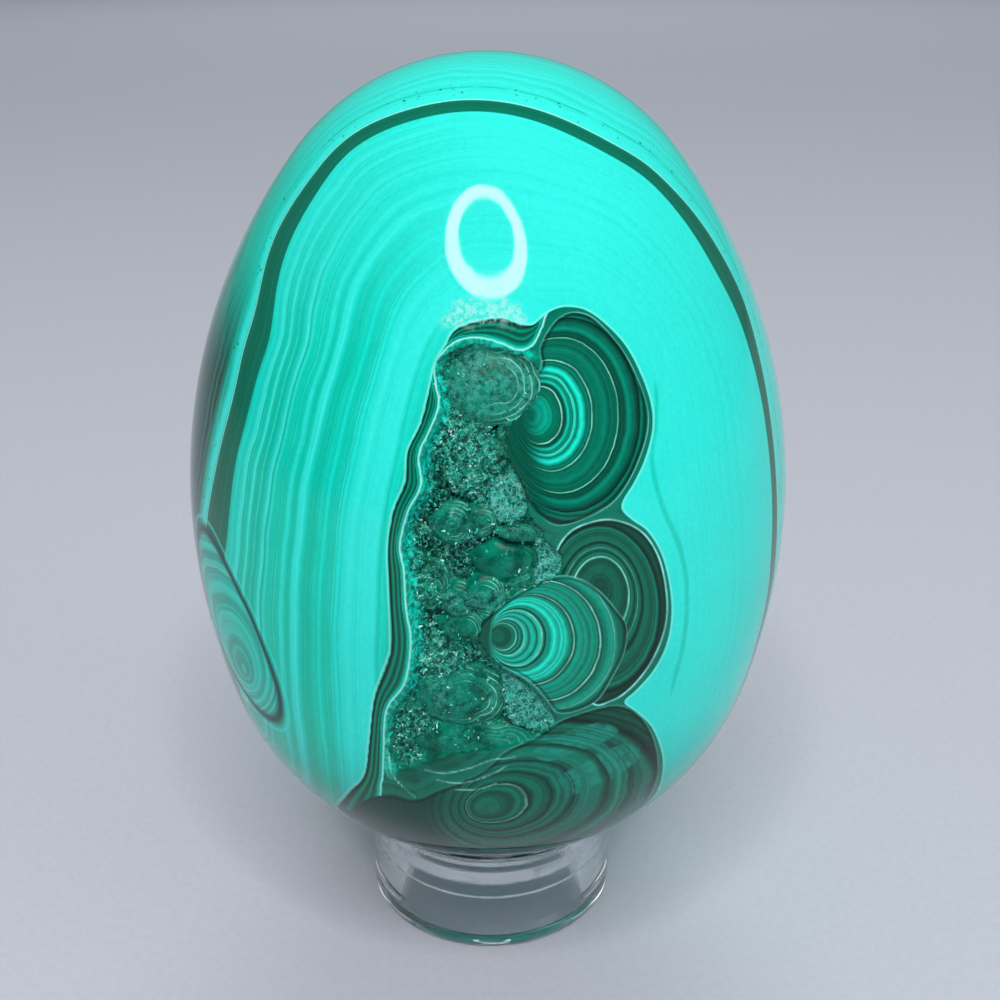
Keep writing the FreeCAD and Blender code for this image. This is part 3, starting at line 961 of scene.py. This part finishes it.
def make_crystals(lining, material):
    piece = bpy.data.objects.new("pocket_crystals", lining.data.copy())
    bpy.context.scene.collection.objects.link(piece)
    crust = piece.modifiers.new("crust", "NODES")
    crust.node_group = crystal_tree(material)
    shown = piece.evaluated_get(bpy.context.evaluated_depsgraph_get())
    mesh = bpy.data.meshes.new_from_object(shown)
    piece.modifiers.remove(crust)
    piece.data = mesh
    mesh.name = "pocket_crystals"
    return piece


# Clear ring

RING_WALL = 3.5 * MM
SEAT_ROUND = 1.4 * MM
EDGE_ROUND = 0.35 * MM
RING_SIDES, EDGE_POINTS, SEAT_POINTS = 192, 6, 14
# Which points belong to the seat and to the bore, in shares of the edge's and the seat's rounding
PAST_EDGE, SEAT_FALL, BORE_FOOT = 1.5, 1.2, 0.5
# Painted reflection: metallic silvery bands in the bore that stand in for light reflected in the
# clear ring: height and width in mm, and strength
PAINTED_REFLECTION_BANDS = [(8.6, 0.9, 0.8), (6.9, 2.2, 1.0), (4.6, 0.45, 0.9)]


def rounded_corner(across, up, radius, start, steps):
    """Points of a quarter turn, anticlockwise from a start angle."""
    angles = np.radians(np.linspace(start, start + 90, steps))
    return [(across + radius * math.cos(a), up + radius * math.sin(a)) for a in angles]


def ring_faces(sides, count, closed=True):
    """Faces of a ring whose sides have as many points as its cross-section."""
    faces = []
    for side in range(sides):
        here, there = side * count, (side + 1) % sides * count
        for i in range(count if closed else count - 1):
            j = (i + 1) % count
            faces.append((here + i, there + i, there + j, here + j))
    return faces


def make_ring():
    outer, inner, top = RING_RADIUS, RING_RADIUS - RING_WALL, RING_TALL
    edge, seat = EDGE_ROUND, SEAT_ROUND
    profile = rounded_corner(inner + edge, edge, edge, 180, EDGE_POINTS)
    profile += rounded_corner(outer - edge, edge, edge, 270, EDGE_POINTS)
    profile += rounded_corner(outer - edge, top - edge, edge, 0, EDGE_POINTS)
    profile += rounded_corner(inner + seat, top - seat, seat, 90, SEAT_POINTS)
    vertices = []
    for side in range(RING_SIDES):
        angle = 2 * math.pi * side / RING_SIDES
        vertices += [(r * math.cos(angle), r * math.sin(angle), z) for r, z in profile]
    on_seat = [r < outer - PAST_EDGE * edge and z > top - SEAT_FALL * seat for r, z in profile]
    in_bore = [r < inner + PAST_EDGE * edge and z > BORE_FOOT * edge for r, z in profile]
    return mesh_piece("clear_ring", vertices, ring_faces(RING_SIDES, len(profile)),
                      {"seat": on_seat * RING_SIDES, "bore": in_bore * RING_SIDES})


# Materials

EDGE_BLUR = 0.05
# Places and widths in the looks are in mm, or in shares of a band, a ring or the field.

# Colours across the field from the cluster to the band, and where its thin pale lines lie:
# place, width and strength
FIELD_STOPS = [
    (0.00, MINT), (0.03, TURQUOISE), (0.05, MINT), (0.08, PALE), (0.20, PALE), (0.33, TURQUOISE),
    (0.37, SHADE), (0.40, MINT), (0.42, TURQUOISE), (0.45, MINT), (0.48, SHADE), (0.52, SHADE),
    (0.55, TURQUOISE), (0.58, PALE), (0.61, MINT), (0.72, MINT), (0.77, SHADE), (0.785, PALE),
    (0.80, SHADE), (0.86, SHADE), (0.88, PALE), (0.895, MINT), (0.92, SHADE), (0.935, PALE),
    (0.98, TURQUOISE), (1.0, MINT),
]
FIELD_LINES = [(0.245, 0.010, 0.5), (0.345, 0.012, 0.5), (0.565, 0.014, 0.7), (0.700, 0.008, 0.5),
               (0.783, 0.014, 0.9), (0.842, 0.008, 0.6), (0.884, 0.012, 0.8), (0.934, 0.012, 0.9)]
# Colours of the layers that run round to the back, and across the cluster's left border
LAYER_STOPS = [
    (0.28, DEEP), (0.37, LOBE), (0.42, SHADE), (0.46, MINT), (0.49, SEA), (0.51, TURQUOISE),
    (0.56, MINT), (0.59, SHADE), (0.62, TURQUOISE), (0.66, SEA), (0.72, BAND),
]
BORDER_STOPS = [
    (0.00, CREAM), (0.05, LOBE), (0.08, BLACK), (0.17, DEEP), (0.23, LOBE), (0.28, SEA),
    (0.33, LOBE), (0.40, DEEP), (0.50, BAND), (0.56, SEA), (0.61, LOBE), (0.68, DEEP), (0.76, LOBE),
    (0.86, SEA), (0.93, MINT), (1.00, PALE),
]
# Lobes from the hindmost to the front one: how much the rings waver, strength and width of the
# line round the lobe, the colour that it fades to, colours of its rings, and its cream rings
# as place, width and strength
Lobe = namedtuple("Lobe", "shake line shade stops creams")
LOBES = {
    "side": Lobe(1.0, (1.0, 0.30), None, [
        (0.00, DEEP), (0.20, BAND), (0.30, DEEP), (0.38, LOBE), (0.46, DEEP), (0.52, LOBE),
        (0.58, BLACK), (0.64, LOBE), (0.72, DEEP), (0.80, LOBE), (0.86, BLACK), (0.92, DEEP),
    ], [(0.365, 0.045, 0.9), (0.50, 0.02, 0.4)]),
    "fan": Lobe(0.8, (0.35, 0.18), BAND, [
        (0.00, BAND), (0.05, DEEP), (0.09, SEA), (0.115, DEEP), (0.13, SEA), (0.15, DEEP),
        (0.18, BRIGHT), (0.21, BAND), (0.24, BRIGHT), (0.27, BAND), (0.30, BRIGHT), (0.325, SEA),
        (0.34, BLACK), (0.365, SEA), (0.40, BRIGHT), (0.51, BRIGHT), (0.54, LOBE), (0.585, DEEP),
        (0.61, SEA), (0.66, tone(16, 166, 142)), (0.70, LOBE), (0.74, SEA), (0.77, LOBE),
        (0.81, DEEP), (0.85, SEA), (0.90, tone(14, 150, 126)), (0.94, LOBE), (1.00, DEEP),
    ], [(0.10, 0.02, 0.6), (0.17, 0.02, 0.7), (0.315, 0.02, 0.9), (0.575, 0.02, 0.7),
        (0.79, 0.025, 0.8), (0.91, 0.015, 0.5)]),
    "lower": Lobe(1.8, (0.2, 0.2), tone(4, 66, 62), [
        (0.00, LOBE), (0.06, DEEP), (0.12, LOBE), (0.18, BLACK), (0.24, LOBE), (0.32, DEEP),
        (0.38, tone(12, 132, 110)), (0.46, DEEP), (0.52, tone(12, 132, 110)), (0.60, LOBE),
        (0.66, DEEP), (0.72, tone(16, 140, 116)), (0.80, DEEP), (0.86, LOBE), (0.93, BLACK),
        (1.00, DEEP),
    ], [(0.17, 0.03, 0.45)]),
    "upper": Lobe(1.2, (0.45, 0.20), BAND, [
        (0.00, LOBE), (0.05, SEA), (0.09, tone(2, 172, 148)), (0.14, SEA), (0.18, LOBE),
        (0.22, BAND), (0.265, DEEP), (0.285, BAND), (0.30, BRIGHT), (0.325, SEA), (0.345, LOBE),
        (0.36, BRIGHT), (0.38, SEA), (0.40, BRIGHT), (0.43, BRIGHT), (0.46, LOBE), (0.52, BAND),
        (0.60, LOBE), (0.70, BAND), (0.76, DEEP), (0.80, LOBE), (0.84, tone(0, 134, 108)),
        (0.88, DEEP), (0.91, tone(0, 50, 40)), (0.93, LOBE), (0.955, DEEP), (0.975, LOBE),
        (1.00, DEEP),
    ], [(0.248, 0.02, 0.85), (0.504, 0.018, 0.85), (0.726, 0.014, 0.75), (0.35, 0.012, 0.4)]),
}
# Places of a growth's pale arcs, from its middle to its edge
GROWTH_PALE_ARCS = (0.52, 0.68, 0.82, 0.93)


def stone_look():
    look = Look("banded_stone")
    paint, grain, stripes, named = look.paint, look.grain, look.stripes, look.named
    layer, band, rim = named("layer"), named("band"), named("rim")
    warp, mottle, cloud = grain(5, 2) - 0.5, grain(0.45, 4) - 0.5, grain(9, 3) - 0.5

    # Field between the cluster and the band: strong stripes to the left, faint ones to the right
    flow = named("drift") + warp * 0.03
    streak = grain(3.5, 3)
    fine = stripes(flow + streak * 0.015, 22, 5)
    thread = stripes(flow + grain(1.2, 2) * 0.006, 110, 3, 21.0)
    shown = streak.ease(0.35, 0.65)
    faint = paint(PALE, (fine.ease(0.35, 0.75) * 0.35, TURQUOISE),
                  (thread.ease(0.55, 0.7) * streak.ease(0.4, 0.65) * 0.25, MINT))
    calm = paint(PALE, (fine.ease(0.3, 0.7) * 0.5, TURQUOISE))
    striped = paint(
        look.ramp(flow, FIELD_STOPS),
        (fine.ease(0.45, 0.68) * 0.6, SHADE),
        (fine.ease(0.44, 0.30) * 0.6, PALE),
        (thread.ease(0.50, 0.66) * shown * 0.4, SHADE),
        (thread.ease(0.46, 0.34) * shown * 0.4, PALE),
        (flow.ease(0.06, 0.10) * flow.ease(0.34, 0.24) * 0.7, calm))
    broken = streak.ease(0.3, 0.6, 0.4, 1.0)
    lines = [((flow + streak * 0.012).line(at, width) * named("striped") * broken * strength,
              FIELD_LINE) for at, width, strength in FIELD_LINES]
    field = paint(
        faint, (named("striped"), striped),
        ((named("faint") + warp * 0.3).ease(0.34, 0.06) * 0.6, SHADE),
        (rim.line(0.16, 0.22) * 0.5, PALE_LINE), *lines,
        # Painted shade: the field darkens to sea green and dark teal towards the bottom of the egg
        (named("foot_shade") * (cloud + 0.62), SEA), (named("foot_shade") * 0.35, DUSK))

    # Layers behind the band, which run round to the back
    depth = layer + warp * 1.6 + cloud * 1.5
    narrow = stripes(depth, 1.7, 3, 9.0)
    away = look.ramp(stripes(depth, 0.22, 3, 4.0) * 0.6 + narrow * 0.4, LAYER_STOPS)
    dark = paint(DUSK, (narrow.ease(0.35, 0.65), BAND),
                 (narrow.ease(0.68, 0.80) * 0.6, SEA))
    layers = paint(
        PALE, (narrow.ease(0.35, 0.65) * 0.4, MINT),
        (named("turned_away"), away), (named("dusk"), dark),
        (layer.ease(0.1, 0.3) * layer.ease(1.3, 0.7), PALE),
        (layer.line(1.6, 0.35) * grain(2, 2).ease(0.3, 0.5) * 0.8, SHADE))

    # Band, with its cream outer line, and the pale lobe at the side, in its dark border
    in_band = band.ease(0.0, 0.05) * layer.ease(EDGE_BLUR, -EDGE_BLUR)
    band_colour = look.mix(stripes(band, 5, 3).ease(0.3, 0.7), BAND, LOBE)
    pale = named("pale_lobe") + warp * 0.06
    swirl = named("pale_ring") + warp * 0.08
    rings = paint(PALE_LOBE_LIGHT, (stripes(swirl, 8, 5).ease(0.36, 0.64), PALE_LOBE_DARK),
                  (swirl.line(0.86, 0.05) * 0.5, CREAM))
    around = paint(
        field, (layer.ease(-EDGE_BLUR, EDGE_BLUR), layers), (in_band, band_colour),
        (layer.line(0.08, 0.24) * 0.8, CREAM), (pale.line(1.22, 0.08) * 0.6, PALE),
        (pale.ease(1.20, 1.08), PALE_LOBE_BORDER), (pale.ease(1.07, 0.96), rings))

    # Cluster: ground, left border, then the lobes
    bright = named("bright")
    nearest = named("upper_edge")
    for name in ("side", "fan", "lower"):
        nearest = nearest.least(named(name + "_edge"))
    fray = (grain(0.5, 3) - 0.5) * 0.16
    frayed = bright + fray
    worn = grain(1.8, 3).ease(0.35, 0.6, 0.50, 1.0)
    inside = frayed.ease(0.02, -0.10) * bright.ease(-1.5, -0.8) * named("pocket").ease(1.2, 0.6)
    cluster = paint(
        DEEP, (stripes(nearest + warp * 0.6, 1.3, 4).ease(0.35, 0.65), LOBE),
        (grain(1.4, 4).ease(0.40, 0.65) * 0.5, GROUND_GREEN),
        (bright.ease(0, 0.1), look.ramp(named("border"), BORDER_STOPS)),
        (inside * 0.9, look.mix(mottle.ease(-0.1, 0.12), SEA, MINT)),
        (frayed.line(0.02, 0.32), PALE_LINE), (frayed.line(0.30, 0.22) * 0.7 * worn, MINT))
    shake = (grain(1.2, 3) - 0.5) * 0.02 + warp * 0.03
    for name, lobe in LOBES.items():
        ring, edge = named(name + "_ring") + shake * lobe.shake, named(name + "_edge")
        threads = stripes(ring, 30, 5, 3.0)
        tint = look.shade(look.ramp(ring, lobe.stops),
                          threads.ease(0.25, 0.75, 0.60, 1.40) + mottle * 0.3)
        tint = paint(tint, *((ring.line(at, width) * worn * strength, CREAM)
                             for at, width, strength in lobe.creams))
        clear = 1.0
        if lobe.shade:
            dark = look.mix(threads.ease(0.4, 0.7), DEEP, lobe.shade)
            clear = 1.0 - named(name + "_fade")
            tint = look.mix(clear, dark, tint)
        tint = look.mix(edge.line(-0.22, 0.4) * 0.7, tint, BLACK)
        strength, width = lobe.line
        cluster = paint(cluster, (edge.ease(EDGE_BLUR, -EDGE_BLUR), tint),
                        (edge.line(0.04, width) * worn * strength * clear, PALE_LINE))
    chips, fibre = grain(0.9, 4), grain(0.35, 5, 0.7)
    arcs = stripes(named("lower_ring") + shake, 18, 3, 5.0).ease(0.40, 0.56)
    worn_patch = (named("worn") + (chips - 0.5) * 0.5).ease(0.10, -0.15)
    worn_patch = worn_patch * arcs * chips.ease(0.30, 0.55, 0.35, 0.85)
    # Worn patches on the lower lobe, and painted shade: the cluster darkens to dark teal towards
    # the bottom of the egg
    cluster = paint(cluster, (worn_patch, WORN_GREEN), (named("low") * 0.75, LOW_SHADE_TEAL))
    # Painted reflection: a whitish speckled flare above the pocket's top
    painted_flare_share = (named("painted_flare") + (chips - 0.5) * 2.4).ease(0.6, -0.6) * fibre.ease(0.40, 0.60)
    colour = paint(
        around, (rim.ease(EDGE_BLUR, -EDGE_BLUR), cluster), (rim.line(0.08, 0.22) * 0.3, CREAM),
        (painted_flare_share * 0.55, PAINTED_FLARE_WHITE),
        ((named("veins") + fray.size()).line(0, 0.32) * worn * 0.8, CREAM))

    # Grain, and small pits along the band
    dust = grain(0.14, 2) - 0.5
    colour = look.shade(colour, mottle * 0.16 + cloud * 0.14 + dust * 0.12 + 1.0)
    speck = (look.cells(0.7) + fibre * 0.3).ease(0.36, 0.28) * grain(1.6).ease(0.44, 0.54)
    pit = speck * layer.line(1.2, 2.4).ease(0.0, 0.5)
    rough = grain(2.5, 4).ease(0.3, 0.8, 0.035, 0.08) + pit * 0.4
    normal = look.bump(grain(0.12, 3) * 0.1 - pit, 0.10, 0.05)
    return look.finish(Base_Color=paint(colour, (pit * 0.85, DEEP)), Roughness=rough,
                       Normal=normal, IOR=1.5, Specular_IOR_Level=0.26)


def lining_look():
    look = Look("rough_pocket")
    paint, grain, named = look.paint, look.grain, look.named
    ring, clear, rough, pale = [named(n) for n in ("ring", "clear", "rough", "pale")]
    frost, fleck, patch, wide = grain(0.5, 6, 0.7), grain(0.16, 3), grain(1.6, 4), grain(2.6, 2)
    arcs = look.stripes(ring + (patch - 0.5) * 0.12, 7, 4)
    shown = clear * named("lee").ease(-0.2, 0.4)
    pale_arcs = [(shown * (ring + (wide - 0.5) * 0.10).line(at, 0.045)
                  * patch.ease(0.40, 0.58) * 0.9, GROWTH_PALE_ARC) for at in GROWTH_PALE_ARCS]
    tangle = (grain(0.9, 3) - 0.5) * 0.25
    web = (look.cells(0.62, "DISTANCE_TO_EDGE") + tangle * 0.4).size().ease(0.09, 0.01)
    veins = look.cells(0.50, "DISTANCE_TO_EDGE").ease(0.10, 0.02)
    glow = wide.ease(0.35, 0.60)
    pale_colour = paint(PATCH_DARK, (frost.ease(0.38, 0.62), PATCH_LIGHT),
                        (veins * 0.55, PATCH_VEIN))
    colour = paint(
        GROWTH_DARK, (patch.ease(0.35, 0.65), GROWTH_GREEN),
        (clear * wide.ease(0.45, 0.62) * frost.ease(0.40, 0.58) * 0.6, GROWTH_HAZE),
        (clear * arcs.ease(0.46, 0.62) * 0.6, GROWTH_ARC), *pale_arcs,
        # Painted shade: the pocket's deepest places go near-black
        (named("deep").ease(1.35, 2.1), POCKET_DEPTH_SHADE),
        (frost.ease(0.44, 0.60) * (rough * 0.7 * glow + 0.10), CRUST_LIGHT),
        (frost.ease(0.52, 0.38) * rough * 0.85, CRUST_DARK),
        (web * rough * glow * frost.ease(0.4, 0.6) * 0.9, CRUST_WEB),
        (pale * frost.ease(0.30, 0.55, 0.5, 1.0), pale_colour),
        (named("slope") * frost.ease(0.42, 0.58) * 0.9, TURQUOISE),
        (fleck.ease(0.64, 0.72) * (rough * 0.8 + pale * 0.3), FROST))
    height = frost * rough * 2.0 + fleck * (rough + pale * 0.6 + 0.1)
    return look.finish(Base_Color=colour, Roughness=rough.ease(0, 1, 0.18, 0.38),
                       Normal=look.bump(height, 0.8, 0.15), IOR=1.5, Specular_IOR_Level=0.12)


def crystal_look():
    look = Look("pocket_crystals")
    tint = look.grain(0.6, 2)
    colour = look.paint(CRYSTAL_DARK, (tint.ease(0.38, 0.58), CRYSTAL_GREEN),
                        (tint.ease(0.58, 0.68), CRYSTAL_WHITE))
    return look.finish(Base_Color=colour, Roughness=tint.ease(0.3, 0.7, 0.12, 0.3), IOR=1.6,
                       Specular_IOR_Level=0.6)


def ring_look():
    look = Look("clear_acrylic")
    haze = look.grain(4, 3).ease(0.45, 0.8, 0.0, 0.12)
    height = look.node("ShaderNodeSeparateXYZ", {}, (look.places,), output="Z") / MM
    # Painted reflection: metallic bands in the bore stand in for light reflected in the clear ring
    painted_reflection = 0.0
    for at, width, strength in PAINTED_REFLECTION_BANDS:
        painted_reflection = height.line(at, width).ease(0.0, 0.6) * strength + painted_reflection
    painted_reflection = painted_reflection * look.named("bore") * look.grain(5, 3).ease(0.30, 0.55, 0.45, 1.0)
    rough = haze + look.named("seat") * 0.12 + painted_reflection * 0.2
    normal = look.bump(look.grain(0.3, 3) * 0.2, 0.05, 0.02)
    return look.finish(Base_Color=CLEAR, Roughness=rough, Metallic=painted_reflection, IOR=1.49,
                       Transmission_Weight=1.0, Normal=normal)


def floor_look():
    look = Look("pale_floor")
    weave = look.grain(0.8, 3).ease(0.3, 0.7)
    return look.finish(Base_Color=look.mix(weave * 0.5, FLOOR_GREY, FLOOR_LIGHT), Roughness=0.85,
                       Specular_IOR_Level=0.2)


# Studio

FLOOR_HALF, FLOOR_DROP = 4.0, 0.05 * MM


def make_floor():
    turns = ((-1, -1), (1, -1), (1, 1), (-1, 1))
    corners = [(x * FLOOR_HALF, y * FLOOR_HALF, -FLOOR_DROP) for x, y in turns]
    floor = mesh_piece("studio_floor", corners, [(0, 1, 2, 3)])
    floor.data.materials.append(floor_look())


# Ring of light: where its reflection lies in the picture, how far off it is, half sizes of its
# outer and inner edge, and how far down its hole lies and how it is turned
RING_LAMP_PLACE = (486, 240)
RING_LAMP_REACH = 0.80
RING_LAMP_OUTER = (0.230, 0.175)
RING_LAMP_INNER = (0.158, 0.122)
RING_LAMP_DROP = 0.010
RING_LAMP_TURN = math.radians(12)
RING_LAMP_SIDES = 96
RING_LAMP_POWER = 24.8
RING_LAMP_TINT = (1.0, 0.94, 0.95)
# Soft lamps: place, what they point at and size in metres, and power in watts
SOFT_LAMPS = {
    "side_lamp": ((0.90, -0.50, 0.60), (0, 0, AIM_HEIGHT * RING_RADIUS), 0.6, 1.2),
    "back_lamp": ((0.10, 1.90, 1.90), (0, 1.5, 0), 1.6, 16.0),
    "ceiling_lamp": ((0, 0, 3.0), (0, 0.01, 0), 6.0, 20.0),
}
AIR_TINT, AIR_STRENGTH = (0.80, 0.86, 0.94, 1), 0.22


def mirror_way(place):
    """Where the polished surface sends the line of sight at a place of the picture."""
    point = DRAWING.on_stone([place])[0]
    out = EGG.out_at(point)
    sight = point - DRAWING.eye
    sight /= np.linalg.norm(sight)
    return point, sight - 2 * (sight @ out) * out


def make_ring_lamp():
    """A ring of light whose reflection lies on the upper front of the egg."""
    point, way = mirror_way(RING_LAMP_PLACE)
    middle = point + way * RING_LAMP_REACH
    across = np.cross(way, [0, 0, 1])
    across /= np.linalg.norm(across)
    upward = np.cross(across, way)
    cosine, sine = math.cos(RING_LAMP_TURN), math.sin(RING_LAMP_TURN)
    vertices = []
    for side in range(RING_LAMP_SIDES):
        angle = 2 * math.pi * side / RING_LAMP_SIDES
        for (wide, tall), drop in ((RING_LAMP_INNER, RING_LAMP_DROP), (RING_LAMP_OUTER, 0)):
            x, y = wide * math.cos(angle), tall * math.sin(angle) + drop
            vertices.append(middle + (cosine * x - sine * y) * across
                            + (sine * x + cosine * y) * upward)
    lamp = mesh_piece("ring_lamp", vertices, ring_faces(RING_LAMP_SIDES, 2, closed=False))
    look = Look("lamp_light")
    lamp.data.materials.append(look.finish(Base_Color=(0, 0, 0), Emission_Color=RING_LAMP_TINT,
                                           Emission_Strength=RING_LAMP_POWER))
    lamp.visible_camera = False


def make_soft_lamp(name, place, aim, size, power):
    lamp = bpy.data.lights.new(name, "AREA")
    lamp.shape = "DISK"
    lamp.size = size
    lamp.energy = power
    holder = bpy.data.objects.new(name, lamp)
    bpy.context.scene.collection.objects.link(holder)
    holder.location = place
    holder.visible_glossy = False
    holder.rotation_euler = (Vector(aim) - Vector(place)).to_track_quat("-Z", "Y").to_euler()


def make_studio():
    scene = bpy.context.scene
    scene.view_settings.view_transform = "Standard"
    world = bpy.data.worlds.new("studio_air")
    world.use_nodes = True
    background = world.node_tree.nodes["Background"]
    background.inputs["Color"].default_value = AIR_TINT
    background.inputs["Strength"].default_value = AIR_STRENGTH
    scene.world = world
    make_floor()
    make_ring_lamp()
    for name, values in SOFT_LAMPS.items():
        make_soft_lamp(name, *values)


def make_camera():
    lens = bpy.data.cameras.new("camera")
    lens.sensor_width = SENSOR
    lens.lens = FOCAL_SHARE * SENSOR
    lens.shift_x = -SIDE_SHIFT
    lens.clip_start = NEAREST_SEEN
    camera = bpy.data.objects.new("camera", lens)
    bpy.context.scene.collection.objects.link(camera)
    turn = Matrix.Rotation(math.pi / 2 - LOOK_DOWN, 4, "X") @ Matrix.Rotation(LOOK_ROLL, 4, "Z")
    camera.matrix_world = Matrix.Translation(Vector(DRAWING.eye)) @ turn
    bpy.context.scene.camera = camera


def dress():
    skin = make_skin()
    skin.data.materials.append(stone_look())
    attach(skin, "egg_body")
    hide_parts("egg")
    lining = make_lining()
    lining.data.materials.append(lining_look())
    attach(lining, "egg_body")
    crystals = make_crystals(lining, crystal_look())
    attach(crystals, "egg_body")
    ring = make_ring()
    ring.data.materials.append(ring_look())
    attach(ring, "stand")
    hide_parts("stand_ring")


dress()
make_camera()
make_studio()
